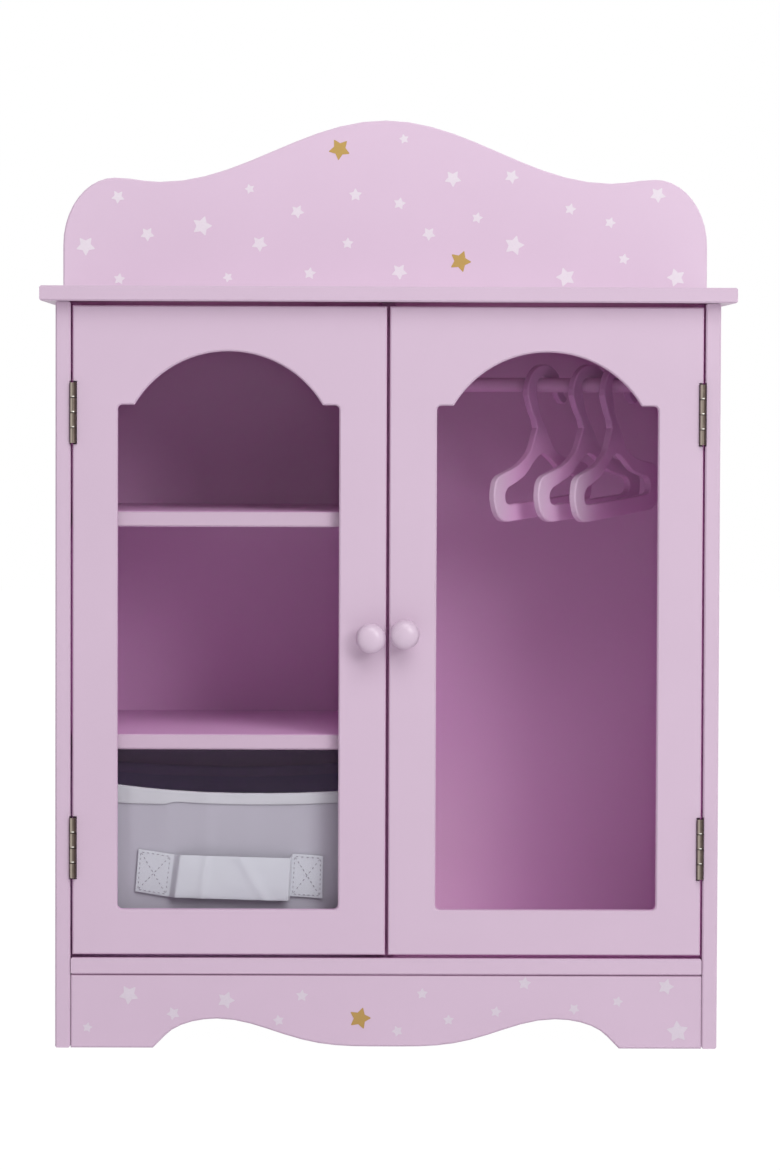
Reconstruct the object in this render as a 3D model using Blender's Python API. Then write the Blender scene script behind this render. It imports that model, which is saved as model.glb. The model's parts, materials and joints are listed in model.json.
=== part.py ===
# Doll closet: a painted board cabinet with two framed window doors, shelves,
# a hanging rod with hangers and a fabric storage bin.
# Metres, +Z up, the front faces -Y. The origin is under the middle of the whole box.

import math

import bmesh
import bpy
from mathutils import Matrix, Vector

# Cabinet boards
BODY_WIDTH = 0.440
BODY_DEPTH = 0.254
BOARD = 0.010
TOP_UNDERSIDE = 0.4955
TOP_BOARD = 0.010
FLOOR_BOARD = 0.011
TOP_SIDE_OVERHANG = 0.010
TOP_FRONT_OVERHANG = 0.0115
FLOOR_TOP = 0.060
UPPER_SHELF_TOP = 0.3563
LOWER_SHELF_TOP = 0.208
BACK_THICKNESS = 0.003
BACK_INSET = 0.0067
GROOVE_DEPTH = 0.004
HOUSING = 0.003
HOUSING_STOP = 0.015
FIT = 0.0003
EDGE = 0.001
OVERRUN = 0.005
WELD = 0.000001

# Crest board on the top
CREST_THICKNESS = 0.010
CREST_PEAK = 0.1243
CREST_VALLEY = 0.0800
CREST_CROWN = 0.0829
CREST_SIDE = 0.0350
CREST_VALLEY_FROM_END = 0.069
CREST_CROWN_FROM_END = 0.037

# Front apron with two arches and a low middle
ARCH_CROWN_FROM_SIDE = 0.0975
ARCH_SHOULDER_REACH = 0.038
ARCH_TOE_RUN = 0.008
ARCH_HEIGHT = 0.0195
DROP_CLEARANCE = 0.0011

# Doors
DOOR_THICKNESS = 0.010
DOOR_TOP_GAP = 0.0027
DOOR_BOTTOM_GAP = 0.0023
DOOR_SIDE_GAP = 0.0013
DOOR_CENTRE_GAP = 0.0018
DOOR_BACK_GAP = 0.002
HINGE_STILE = 0.0298
KNOB_STILE = 0.0314
TOP_RAIL = 0.030
BOTTOM_RAIL = 0.030
ARCH_RISE = 0.0355
SHOULDER_WIDTH = 0.011
SHOULDER_RADIUS = 0.003
SILL_RADIUS = 0.003

# Window panes
PANE_THICKNESS = 0.002
PANE_LAP = 0.006

# Hinges
HINGE_HEIGHT = 0.040
HINGE_FROM_DOOR_END = 0.071
HINGE_PIN_FROM_PANEL = 0.0018
HINGE_PIN_PROUD = 0.0015
KNUCKLE_RADIUS = 0.0022
LEAF_THICKNESS = 0.0009
LEAF_REACH = 0.0095
HINGE_PIN_PLAY = 0.00015
KNUCKLE_GAP = 0.0003
MORTISE_END_GAP = 0.001
KNUCKLES = 4
ROLL_TURN = math.radians(285)
HINGE_SCREW_SPREAD = 0.022
HINGE_SCREW_RADIUS = 0.0010
HINGE_SCREW_HEAD = 0.0021
HINGE_SCREW_HEAD_HEIGHT = 0.0010
HINGE_SCREW_LENGTH = 0.0085
HEAD_SET = 0.0001

# Knobs
KNOB_DIAMETER = 0.0204
KNOB_REACH = 0.020
KNOB_HEIGHT = 0.2737
RIGHT_KNOB_RISE = 0.0025
KNOB_FROM_DOOR_EDGE = 0.0103
KNOB_SCREW_RADIUS = 0.0018
KNOB_SCREW_DEPTH = 0.011
KNOB_SCREW_HEAD = 0.0036
KNOB_SCREW_HEAD_HEIGHT = 0.0018

# Hanging rod
ROD_RADIUS = 0.005
ROD_BELOW_TOP = 0.054
ROD_FROM_FRONT = 0.128
ROD_SEAT = 0.005

# Screws that hold the crest board and the apron
SCREW_RADIUS = 0.0015
SCREW_HEAD = 0.0024
SCREW_HEAD_HEIGHT = 0.0012
SCREW_LENGTH = 0.027
CREST_SCREW_FROM_END = 0.080

# Storage bin
BIN_FROM_DOOR = 0.016
BIN_SIDE_GAP = 0.004
BIN_BACK_GAP = 0.006
BIN_TOP_GAP = 0.0257
BIN_WALL = 0.002
BIN_CORNER = 0.007
BINDING_HEIGHT = 0.007
BINDING_WALL = 0.0009
BASE_BOARD = 0.002
BASE_BOARD_GAP = 0.001
HANDLE_LENGTH = 0.1246
HANDLE_HEIGHT = 0.0295
HANDLE_CENTRE_HEIGHT = 0.0525
HANDLE_THICKNESS = 0.0016
HANDLE_LEFT_PATCH = 0.025
HANDLE_RIGHT_PATCH = 0.021
HANDLE_STANDOFF = 0.0085
HANDLE_OFF_CENTRE = 0.0025

# Hangers
HANGER_WIDTH = 0.1215
HANGER_DROP = 0.0905
HANGER_THICKNESS = 0.005
HANGER_EDGE = 0.0007
HANGER_WAIST = 0.0108
HANGER_WAIST_DROP = 0.0293
HOOK_CLEARANCE = 0.0007
HOOK_OPENING = 0.015
HOOK_ARM_DROP = 0.006
HOOK_NEAR_BAND = 0.0115
HOOK_TOP_BAND = 0.0085
HOOK_TIP_BAND = 0.008
HOOK_FROM_WAIST_LINE = 0.0050
FIRST_HANGER_FROM_SIDE = 0.1032
SECOND_HANGER_FROM_SIDE = 0.0713
THIRD_HANGER_FROM_SIDE = 0.0522
FIRST_HANGER_TURN = math.radians(53.8)
SECOND_HANGER_TURN = math.radians(51.5)
THIRD_HANGER_TURN = math.radians(57.9)

# Turned profile of a knob: shares of its radius and of its reach, door side first
KNOB_PROFILE_SHARES = (
    (0.66, 0.00), (0.66, 0.05), (0.50, 0.13), (0.47, 0.26), (0.56, 0.37),
    (0.84, 0.46), (0.98, 0.58), (0.99, 0.70), (0.88, 0.84), (0.62, 0.95), (0.30, 1.00),
)

# Half outline of a hanger below its waist: shares of its half width and of its drop
HANGER_OUTLINE_SHARES = (
    (0.217, 0.473), (0.306, 0.523), (0.411, 0.563), (0.550, 0.597), (0.780, 0.629), (0.895, 0.650),
    (0.962, 0.695), (1.000, 0.785), (0.985, 0.870), (0.930, 0.945), (0.830, 0.990), (0.700, 1.000),
)
HANGER_HOLE_SHARES = (
    (0.080, 0.540), (0.204, 0.592), (0.368, 0.672), (0.617, 0.726), (0.707, 0.742),
    (0.768, 0.777), (0.780, 0.818), (0.750, 0.858), (0.670, 0.873),
)
HANGER_HOLE_PEAK_SHARE = 0.523

# Neck of a hanger: shares of the way across and down from the hook to the waist
NECK_OUTER_SHARES = ((0.15, 0.21), (0.47, 0.51), (0.84, 0.75))
NECK_INNER_SHARES = ((0.15, 0.28), (0.28, 0.53), (0.57, 0.76))

# Where an arch's shoulder meets its straight toe: share of the shoulder's reach
ARCH_TOE_SHARE = 0.908

# Flared tip of a hook: shares of its band, across and down, from the inner edge round to the outer
TIP_SHARES = ((0.20, 0.45), (0.65, 0.90), (0.95, 1.10), (1.40, 1.08), (1.65, 0.75), (1.25, 0.40))

ARC_STEPS = 28
CORNER_STEPS = 3
CREST_STEPS = 10
ROUND_SIDES = 12
EDGE_STEPS = 1
SCREW_SIDES = 8

# Places that follow from the sizes above
front = (KNOB_REACH - BODY_DEPTH) / 2
rear = front + BODY_DEPTH
outer = BODY_WIDTH / 2
inner = outer - BOARD
side_top = TOP_UNDERSIDE - FIT
floor_underside = FLOOR_TOP - FLOOR_BOARD
top_face = TOP_UNDERSIDE + TOP_BOARD
back_rear = rear - BACK_INSET
back_front = back_rear - BACK_THICKNESS
divider_face = BOARD / 2
inside_front = front + DOOR_THICKNESS + DOOR_BACK_GAP
inside_rear = back_front - FIT
door_back = front + DOOR_THICKNESS
door_top = TOP_UNDERSIDE - DOOR_TOP_GAP
door_bottom = FLOOR_TOP + DOOR_BOTTOM_GAP
door_near = DOOR_CENTRE_GAP / 2
door_far = inner - DOOR_SIDE_GAP
window_far = door_far - HINGE_STILE
window_near = door_near + KNOB_STILE
window_top = door_top - TOP_RAIL
window_bottom = door_bottom + BOTTOM_RAIL
pin_x = inner - HINGE_PIN_FROM_PANEL
pin_y = front - HINGE_PIN_PROUD
leaf_inside = KNUCKLE_RADIUS - LEAF_THICKNESS
hinge_heights = (door_top - HINGE_FROM_DOOR_END, door_bottom + HINGE_FROM_DOOR_END)
rod_y = front + ROD_FROM_FRONT
rod_height = TOP_UNDERSIDE - ROD_BELOW_TOP
top_end = outer + TOP_SIDE_OVERHANG
bay_left = -inner
bay_right = -divider_face


def clear_scene():
    for thing in list(bpy.data.objects):
        bpy.data.objects.remove(thing, do_unlink=True)


def paint(name, red, green, blue, roughness, metallic=0.0):
    material = bpy.data.materials.new(name)
    material.use_nodes = True
    shader = material.node_tree.nodes["Principled BSDF"]
    linear = [((value / 255 + 0.055) / 1.055) ** 2.4 for value in (red, green, blue)]
    shader.inputs["Base Color"].default_value = (*linear, 1)
    shader.inputs["Roughness"].default_value = roughness
    shader.inputs["Metallic"].default_value = metallic
    material.diffuse_color = (*linear, 1)
    return material


def axis_empty(name, place):
    empty = bpy.data.objects.new(name, None)
    empty.location = place
    bpy.context.collection.objects.link(empty)
    return empty


def add_piece(name, bm, material, parent=None, origin=(0, 0, 0), smooth=False):
    bmesh.ops.remove_doubles(bm, verts=bm.verts, dist=WELD)
    bmesh.ops.recalc_face_normals(bm, faces=bm.faces)
    bmesh.ops.translate(bm, vec=-Vector(origin), verts=bm.verts)
    mesh = bpy.data.meshes.new(name)
    bm.to_mesh(mesh)
    bm.free()
    if smooth:
        mesh.shade_smooth()
        mesh.set_sharp_from_angle(angle=math.radians(40))
    mesh.materials.append(material)
    return add_copy(name, mesh, parent, origin)


def add_copy(name, mesh, parent=None, origin=(0, 0, 0)):
    piece = bpy.data.objects.new(name, mesh)
    bpy.context.collection.objects.link(piece)
    if parent:
        piece.parent = parent
        piece.location = Vector(origin) - parent.location
    else:
        piece.location = origin
    return piece


def cut(piece, name, bm, operation="DIFFERENCE"):
    bmesh.ops.remove_doubles(bm, verts=bm.verts, dist=WELD)
    bmesh.ops.recalc_face_normals(bm, faces=bm.faces)
    mesh = bpy.data.meshes.new(name)
    bm.to_mesh(mesh)
    bm.free()
    cutter = bpy.data.objects.new(name, mesh)
    bpy.context.collection.objects.link(cutter)
    cutter.hide_render = True
    cutter.display_type = "WIRE"
    modifier = piece.modifiers.new(name, "BOOLEAN")
    modifier.operation = operation
    modifier.solver = "EXACT"
    modifier.object = cutter


def on_front(u, v, depth):
    return Vector((u, depth, v))


def on_side(u, v, depth):
    return Vector((depth, u, v))


def on_floor(u, v, depth):
    return Vector((u, v, depth))


def arc(centre_u, centre_v, radius_u, radius_v, start, end, steps):
    points = []
    for step in range(steps + 1):
        angle = start + (end - start) * step / steps
        points.append((centre_u + radius_u * math.cos(angle), centre_v + radius_v * math.sin(angle)))
    return points


def rectangle(low_u, high_u, low_v, high_v):
    return [(low_u, low_v), (high_u, low_v), (high_u, high_v), (low_u, high_v)]


def rounded_rectangle(low_u, high_u, low_v, high_v, radius, steps):
    corners = (
        (high_u - radius, high_v - radius, 0),
        (low_u + radius, high_v - radius, 1),
        (low_u + radius, low_v + radius, 2),
        (high_u - radius, low_v + radius, 3),
    )
    points = []
    for centre_u, centre_v, quarter in corners:
        start = quarter * math.pi / 2
        points += arc(centre_u, centre_v, radius, radius, start, start + math.pi / 2, steps)
    return points


def signed_area(points):
    total = 0
    for index, (u, v) in enumerate(points):
        next_u, next_v = points[(index + 1) % len(points)]
        total += u * next_v - next_u * v
    return total / 2


def centroid(points):
    area = signed_area(points)
    sum_u = 0
    sum_v = 0
    for index, (u, v) in enumerate(points):
        next_u, next_v = points[(index + 1) % len(points)]
        cross = u * next_v - next_u * v
        sum_u += (u + next_u) * cross
        sum_v += (v + next_v) * cross
    return area, sum_u / (6 * area), sum_v / (6 * area)


def shrunk(points, distance):
    # Moves every side of a closed outline inwards, with mitred corners.
    turn = 1 if signed_area(points) > 0 else -1
    result = []
    for index, point in enumerate(points):
        here = Vector(point)
        before = (here - Vector(points[index - 1])).normalized()
        after = (Vector(points[(index + 1) % len(points)]) - here).normalized()
        normal_before = Vector((-before.y, before.x)) * turn
        normal_after = Vector((-after.y, after.x)) * turn
        middle = (normal_before + normal_after).normalized()
        result.append(tuple(here + middle * distance / max(middle.dot(normal_after), 0.3)))
    return result


def add_loop(bm, points, place, depth):
    return [bm.verts.new(place(u, v, depth)) for u, v in points]


def join_loops(bm, first, second):
    count = len(first)
    for index in range(count):
        after = (index + 1) % count
        bm.faces.new((first[index], first[after], second[after], second[index]))


def cap(bm, loops):
    if len(loops) == 1:
        bm.faces.new(loops[0])
        return
    edges = []
    for loop in loops:
        for index, vert in enumerate(loop):
            edges.append(bm.edges.get((vert, loop[(index + 1) % len(loop)])))
    bmesh.ops.triangle_fill(bm, use_beauty=True, edges=edges)


def add_slab(bm, outline, low, high, place, holes=(), edge=0.0):
    # A plate between two depths, with rounded edges along its outline and its holes.
    levels = [(low, edge)]
    if edge:
        for step in range(1, EDGE_STEPS + 1):
            angle = step * math.pi / 2 / EDGE_STEPS
            levels.append((low + edge * (1 - math.cos(angle)), edge * (1 - math.sin(angle))))
        levels += [(low + high - depth, inset) for depth, inset in reversed(levels)]
    else:
        levels.append((high, edge))
    bottom = []
    top = []
    for index, border in enumerate([outline, *holes]):
        previous = None
        for depth, inset in levels:
            side = inset if index == 0 else -inset
            loop = add_loop(bm, shrunk(border, side) if inset else border, place, depth)
            if previous:
                join_loops(bm, previous, loop)
            else:
                bottom.append(loop)
            previous = loop
        top.append(previous)
    cap(bm, bottom)
    cap(bm, top)


def add_board(name, outline, low, high, place, material):
    bm = bmesh.new()
    add_slab(bm, outline, low, high, place, edge=EDGE)
    return add_piece(name, bm, material)


def add_box(bm, low, high):
    add_slab(bm, rectangle(low[0], high[0], low[1], high[1]), low[2], high[2], on_floor)


def add_turned(bm, start, direction, profile, sides=ROUND_SIDES):
    # A solid of revolution: each profile point is a radius and a distance along the direction.
    turn = Vector((0, 0, 1)).rotation_difference(Vector(direction)).to_matrix()
    first = None
    previous = None
    for radius, along in profile:
        loop = []
        for step in range(sides):
            angle = 2 * math.pi * (step + 0.5) / sides
            spot = Vector((radius * math.cos(angle), radius * math.sin(angle), along))
            loop.append(bm.verts.new(Vector(start) + turn @ spot))
        if previous:
            join_loops(bm, previous, loop)
        else:
            first = loop
        previous = loop
    bm.faces.new(first)
    bm.faces.new(previous)


def add_cylinder(bm, start, direction, radius, length, sides=ROUND_SIDES):
    add_turned(bm, start, direction, ((radius, 0), (radius, length)), sides)


def add_flat_screw(bm, head, direction, shank, head_radius, head_height, length):
    # A countersunk screw from the middle of its head's flat face.
    profile = (
        (head_radius, 0), (shank, head_height),
        (shank, length - shank), (shank / 3, length),
    )
    add_turned(bm, head, direction, profile, SCREW_SIDES)


def add_flat_screw_hole(bm, head, direction, shank, head_radius, head_height, length):
    start = Vector(head) - Vector(direction) * OVERRUN
    profile = (
        (head_radius + FIT, 0), (head_radius + FIT, OVERRUN),
        (shank + FIT, OVERRUN + head_height), (shank + FIT, OVERRUN + length + FIT),
    )
    add_turned(bm, start, direction, profile, SCREW_SIDES)


def add_pan_screw(bm, seat, direction, shank, head_radius, head_height, length):
    # A pan head screw from the middle of its head's under side.
    start = Vector(seat) - Vector(direction) * head_height
    profile = (
        (head_radius * 0.72, 0), (head_radius, head_height * 0.5), (head_radius, head_height),
        (shank, head_height), (shank, head_height + length - shank), (shank / 3, head_height + length),
    )
    add_turned(bm, start, direction, profile)


def make_materials():
    return {
        "paint": paint("pink_paint", 214, 190, 212, 0.42),
        "inside": paint("pink_inside", 190, 150, 186, 0.5),
        "back": paint("pink_back_board", 176, 130, 170, 0.55),
        "rod": paint("pink_rod", 205, 165, 198, 0.4),
        "hanger": paint("pink_hanger", 214, 164, 204, 0.4),
        "knob": paint("pink_knob", 218, 200, 216, 0.3),
        "hinge": paint("nickel_hinge", 160, 148, 128, 0.35, 1.0),
        "screw": paint("zinc_screw", 176, 176, 178, 0.35, 1.0),
        "pane": paint("clear_pane", 235, 238, 242, 0.08),
        "fabric": paint("grey_fabric", 170, 167, 178, 0.9),
        "binding": paint("white_binding", 206, 206, 214, 0.85),
        "strap": paint("white_strap", 208, 210, 222, 0.8),
        "card": paint("grey_base_board", 120, 118, 124, 0.9),
    }


def crest_outline():
    # Half outline from the middle of the peak to the right end, then mirrored.
    valley = top_end - CREST_VALLEY_FROM_END
    crown = top_end - CREST_CROWN_FROM_END
    half = [(0, CREST_PEAK)]
    fall = (CREST_PEAK - CREST_VALLEY) / 2
    for step in range(1, CREST_STEPS + 1):
        share = step / CREST_STEPS
        height = CREST_PEAK - fall * (1 - math.cos(math.pi * share))
        half.append((valley * share, height))
    rise = (CREST_CROWN - CREST_VALLEY) / 2
    for share in (1 / 3, 2 / 3):
        height = CREST_VALLEY + rise * (1 - math.cos(math.pi * share))
        half.append((valley + (crown - valley) * share, height))
    half += arc(crown, CREST_SIDE, CREST_CROWN_FROM_END, CREST_CROWN - CREST_SIDE, math.pi / 2, 0, CREST_STEPS)
    half.append((top_end, 0))
    left = [(-u, v) for u, v in reversed(half) if u > 0]
    base = top_face + FIT
    return [(u, v + base) for u, v in half + left]


def apron_outline():
    # Half outline from the middle drop to the right end, then mirrored.
    crown = inner - ARCH_CROWN_FROM_SIDE
    half = []
    for step in range(CREST_STEPS):
        share = step / CREST_STEPS
        height = DROP_CLEARANCE + (ARCH_HEIGHT - DROP_CLEARANCE) * math.sin(math.pi / 2 * share) ** 4
        half.append((crown * share, height))
    toe = math.acos(ARCH_TOE_SHARE)
    half += arc(crown, 0, ARCH_SHOULDER_REACH, ARCH_HEIGHT, math.pi / 2, toe, CREST_STEPS // 2)
    half.append((crown + ARCH_SHOULDER_REACH * ARCH_TOE_SHARE + ARCH_TOE_RUN, 0))
    half.append((inner - FIT, 0))
    half.append((inner - FIT, floor_underside - FIT))
    left = [(-u, v) for u, v in reversed(half) if u > 0]
    return half + left


def window_outline(side):
    # Sill, stiles, two shoulders and the arch, drawn for the right door and mirrored for the left.
    half_chord = (window_far - window_near) / 2 - SHOULDER_WIDTH
    radius = (half_chord ** 2 + ARCH_RISE ** 2) / (2 * ARCH_RISE)
    shoulder = window_top - ARCH_RISE
    middle = (window_near + window_far) / 2
    half_turn = math.asin(half_chord / radius)
    points = arc(window_near + SILL_RADIUS, window_bottom + SILL_RADIUS, SILL_RADIUS, SILL_RADIUS,
                 math.pi, math.pi * 1.5, CORNER_STEPS)
    points += arc(window_far - SILL_RADIUS, window_bottom + SILL_RADIUS, SILL_RADIUS, SILL_RADIUS,
                  -math.pi / 2, 0, CORNER_STEPS)
    points += arc(window_far - SHOULDER_RADIUS, shoulder - SHOULDER_RADIUS, SHOULDER_RADIUS, SHOULDER_RADIUS,
                  0, math.pi / 2, CORNER_STEPS)
    points += arc(middle, window_top - radius, radius, radius,
                  math.pi / 2 - half_turn, math.pi / 2 + half_turn, ARC_STEPS)
    points += arc(window_near + SHOULDER_RADIUS, shoulder - SHOULDER_RADIUS, SHOULDER_RADIUS, SHOULDER_RADIUS,
                  math.pi / 2, math.pi, CORNER_STEPS)
    return [(side * u, v) for u, v in points]


def housed_floor_board(low_x, high_x, low_y, high_y):
    # Seen from above: both ends go deeper into their housings behind the front stop.
    step = low_y + HOUSING_STOP
    return [
        (low_x + FIT, low_y), (high_x - FIT, low_y), (high_x - FIT, step),
        (high_x + HOUSING - FIT, step), (high_x + HOUSING - FIT, high_y),
        (low_x - HOUSING + FIT, high_y), (low_x - HOUSING + FIT, step), (low_x + FIT, step),
    ]


def housing_for_floor_board(face, side, low_y, high_y, low_z, high_z):
    # The slot that a floor board or a shelf needs in an upright board.
    bm = bmesh.new()
    low, high = sorted((face - side * OVERRUN, face + side * HOUSING))
    add_box(bm, (low, low_y + HOUSING_STOP - FIT, low_z - FIT), (high, high_y, high_z + FIT))
    return bm


def housing_for_upright(low_x, high_x, low_y, high_y, face, side):
    # The slot that an upright board needs in the top or the bottom panel.
    bm = bmesh.new()
    low, high = sorted((face - side * OVERRUN, face + side * HOUSING))
    add_box(bm, (low_x - FIT, low_y + HOUSING_STOP - FIT, low), (high_x + FIT, high_y, high))
    return bm


def make_side_panel(side, name, colours):
    step = front + HOUSING_STOP
    outline = [
        (front, 0), (rear, 0), (rear, TOP_UNDERSIDE + HOUSING - FIT),
        (step, TOP_UNDERSIDE + HOUSING - FIT), (step, side_top), (front, side_top),
    ]
    face = side * inner
    low, high = sorted((face, side * outer))
    panel = add_board(name, outline, low, high, on_side, colours["paint"])
    groove = bmesh.new()
    low, high = sorted((face - side * OVERRUN, face + side * GROOVE_DEPTH))
    add_box(groove, (low, back_front - FIT, -OVERRUN), (high, back_rear + FIT, top_face + OVERRUN))
    cut(panel, name + "_groove", groove)
    slot = housing_for_floor_board(face, side, front, rear + OVERRUN, floor_underside, FLOOR_TOP)
    cut(panel, name + "_floor_housing", slot)
    return panel


def make_cabinet(colours):
    boards = {}
    for side, name in ((-1, "left_side_panel"), (1, "right_side_panel")):
        boards[name] = make_side_panel(side, name, colours)
    outline = rectangle(-top_end, top_end, front - TOP_FRONT_OVERHANG, rear)
    top = add_board("top_panel", outline, TOP_UNDERSIDE, top_face, on_floor, colours["paint"])
    outline = housed_floor_board(-inner, inner, front, rear)
    floor = add_board("bottom_panel", outline, floor_underside, FLOOR_TOP, on_floor, colours["paint"])
    step = inside_front + HOUSING_STOP
    outline = [
        (inside_front, FLOOR_TOP + FIT), (step, FLOOR_TOP + FIT), (step, FLOOR_TOP - HOUSING + FIT),
        (inside_rear, FLOOR_TOP - HOUSING + FIT), (inside_rear, TOP_UNDERSIDE + HOUSING - FIT),
        (step, TOP_UNDERSIDE + HOUSING - FIT), (step, side_top), (inside_front, side_top),
    ]
    divider = add_board("centre_divider", outline, -divider_face, divider_face, on_side, colours["inside"])
    for name, shelf_top in (("upper_shelf", UPPER_SHELF_TOP), ("lower_shelf", LOWER_SHELF_TOP)):
        outline = housed_floor_board(bay_left, bay_right, inside_front, inside_rear)
        boards[name] = add_board(name, outline, shelf_top - BOARD, shelf_top, on_floor, colours["inside"])
        for board, face, side in ((boards["left_side_panel"], bay_left, -1), (divider, bay_right, 1)):
            slot = housing_for_floor_board(face, side, inside_front, inside_rear + FIT, shelf_top - BOARD, shelf_top)
            cut(board, "housing_for_%s_in_%s" % (name, board.name), slot)

    for board, face, side in ((top, TOP_UNDERSIDE, 1), (floor, FLOOR_TOP, -1)):
        groove = bmesh.new()
        low, high = sorted((face - side * OVERRUN, face + side * GROOVE_DEPTH))
        add_box(groove, (-outer, back_front - FIT, low), (outer, back_rear + FIT, high))
        cut(board, board.name + "_groove", groove)
        slot = housing_for_upright(-divider_face, divider_face, inside_front, inside_rear + FIT, face, side)
        cut(board, board.name + "_divider_housing", slot)
    for low_x, high_x, word in ((-outer, -inner, "left"), (inner, outer, "right")):
        slot = housing_for_upright(low_x, high_x, front, rear + OVERRUN, TOP_UNDERSIDE, 1)
        cut(top, word + "_housing_in_top", slot)

    bm = bmesh.new()
    back_end = inner + GROOVE_DEPTH - FIT
    add_box(bm, (-back_end, back_front, FLOOR_TOP - GROOVE_DEPTH + FIT),
            (back_end, back_rear, TOP_UNDERSIDE + GROOVE_DEPTH - FIT))
    add_piece("back_panel", bm, colours["back"])
    boards["crest_board"] = add_board(
        "crest_board", crest_outline(), rear - CREST_THICKNESS, rear, on_front, colours["paint"])
    boards["front_apron"] = add_board(
        "front_apron", apron_outline(), front, front + BOARD, on_front, colours["paint"])
    boards["top_panel"] = top
    boards["centre_divider"] = divider
    return boards


def make_rod(boards, colours):
    seat = ROD_SEAT - FIT
    start = (divider_face - seat, rod_y, rod_height)
    length = inner - divider_face + 2 * seat
    bm = bmesh.new()
    add_cylinder(bm, start, (1, 0, 0), ROD_RADIUS, length, 2 * ROUND_SIDES)
    add_piece("hanging_rod", bm, colours["rod"], smooth=True)
    for name, mouth, direction in (("centre_divider", divider_face, -1), ("right_side_panel", inner, 1)):
        bore = bmesh.new()
        add_cylinder(bore, (mouth - direction * OVERRUN, rod_y, rod_height), (direction, 0, 0),
                     ROD_RADIUS + FIT, OVERRUN + ROD_SEAT, 2 * ROUND_SIDES)
        cut(boards[name], "rod_bore_in_" + name, bore)


def make_board_screws(boards, colours):
    # Three screws hold the crest from under the top, and one at each end holds the apron.
    behind_back = (back_rear + rear) / 2
    side_middle = floor_underside / 2
    places = []
    end_screw = top_end - CREST_SCREW_FROM_END
    for word, x in (("left", -end_screw), ("middle", 0), ("right", end_screw)):
        spot = (x, behind_back, TOP_UNDERSIDE + FIT)
        places.append(("crest_screw_" + word, spot, (0, 0, 1), ("top_panel", "crest_board")))
    for word, side in (("left", -1), ("right", 1)):
        spot = (side * (outer - FIT), front + BOARD / 2, side_middle)
        places.append(("apron_screw_" + word, spot, (-side, 0, 0), (word + "_side_panel", "front_apron")))
    sizes = (SCREW_RADIUS, SCREW_HEAD, SCREW_HEAD_HEIGHT, SCREW_LENGTH)
    for name, spot, direction, pierced in places:
        add_screw(name, spot, direction, sizes, [boards[board] for board in pierced], colours["screw"])


def add_screw(name, spot, direction, sizes, pierced, material, parent=None):
    # A countersunk screw and its hole in each piece that it passes or enters.
    bm = bmesh.new()
    add_flat_screw(bm, spot, direction, *sizes)
    add_piece(name, bm, material, parent, spot, smooth=True)
    for piece in pierced:
        hole = bmesh.new()
        add_flat_screw_hole(hole, spot, direction, *sizes)
        cut(piece, name + "_hole_in_" + piece.name, hole)


def leaf_mesh(direction, owned):
    # One leaf with its rolled knuckles, around the pin's axis at the middle of the hinge.
    low = -HINGE_HEIGHT / 2
    pitch = HINGE_HEIGHT / KNUCKLES
    leaf_start = KNUCKLE_RADIUS + KNUCKLE_GAP
    lap = leaf_start + LEAF_THICKNESS
    bm = bmesh.new()
    plate = rectangle(leaf_inside, KNUCKLE_RADIUS, leaf_start, LEAF_REACH)
    plate = [(direction * u, v) for u, v in plate]
    add_slab(bm, plate, low, -low, on_floor)
    rolls = bmesh.new()
    steps = ROUND_SIDES
    profile = [(KNUCKLE_RADIUS, lap)]
    profile += arc(0, 0, KNUCKLE_RADIUS, KNUCKLE_RADIUS, 0, -ROLL_TURN, steps)
    profile += arc(0, 0, leaf_inside, leaf_inside, -ROLL_TURN, 0, steps)
    profile.append((leaf_inside, lap))
    profile = [(direction * u, v) for u, v in profile]
    for index in owned:
        bottom = low + pitch * index + (KNUCKLE_GAP / 2 if index else 0)
        top = low + pitch * (index + 1) - (KNUCKLE_GAP / 2 if index < KNUCKLES - 1 else 0)
        add_slab(rolls, profile, bottom, top, on_floor)
    return bm, rolls


def hinge_screw_name(word, level, owner, number):
    return "%s_%s_hinge_%s_screw_%d" % (word, level, owner, number)


def make_hinge_leaf(word, level, owner, direction, centre, carrier, parent, colours):
    # A leaf let into its board, with two countersunk screws.
    name = "_".join((word, level, "hinge", owner, "leaf"))
    owned = (0, 2) if owner == "frame" else (1, 3)
    plate, rolls = leaf_mesh(direction, owned)
    for shape in (plate, rolls):
        bmesh.ops.translate(shape, vec=centre, verts=shape.verts)
    leaf = add_piece(name, plate, colours["hinge"], parent, centre)
    cut(leaf, name + "_rolls", rolls, "UNION")
    half = HINGE_HEIGHT / 2 + MORTISE_END_GAP
    low, high = sorted((centre[0] + direction * (KNUCKLE_RADIUS + FIT), centre[0] - direction * OVERRUN))
    mortise = bmesh.new()
    add_box(mortise, (low, front - OVERRUN, centre[2] - half), (high, pin_y + LEAF_REACH + FIT, centre[2] + half))
    cut(carrier, name + "_mortise", mortise)
    sizes = (HINGE_SCREW_RADIUS, HINGE_SCREW_HEAD, HINGE_SCREW_HEAD_HEIGHT, HINGE_SCREW_LENGTH)
    leaf_middle = (KNUCKLE_RADIUS + KNUCKLE_GAP + LEAF_REACH) / 2
    for number, offset in ((1, HINGE_SCREW_SPREAD / 2), (2, -HINGE_SCREW_SPREAD / 2)):
        spot = (centre[0] + direction * (leaf_inside + HEAD_SET), pin_y + leaf_middle, centre[2] + offset)
        add_screw(hinge_screw_name(word, level, owner, number), spot, (direction, 0, 0), sizes,
                  (leaf, carrier), colours["screw"], parent)


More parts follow.
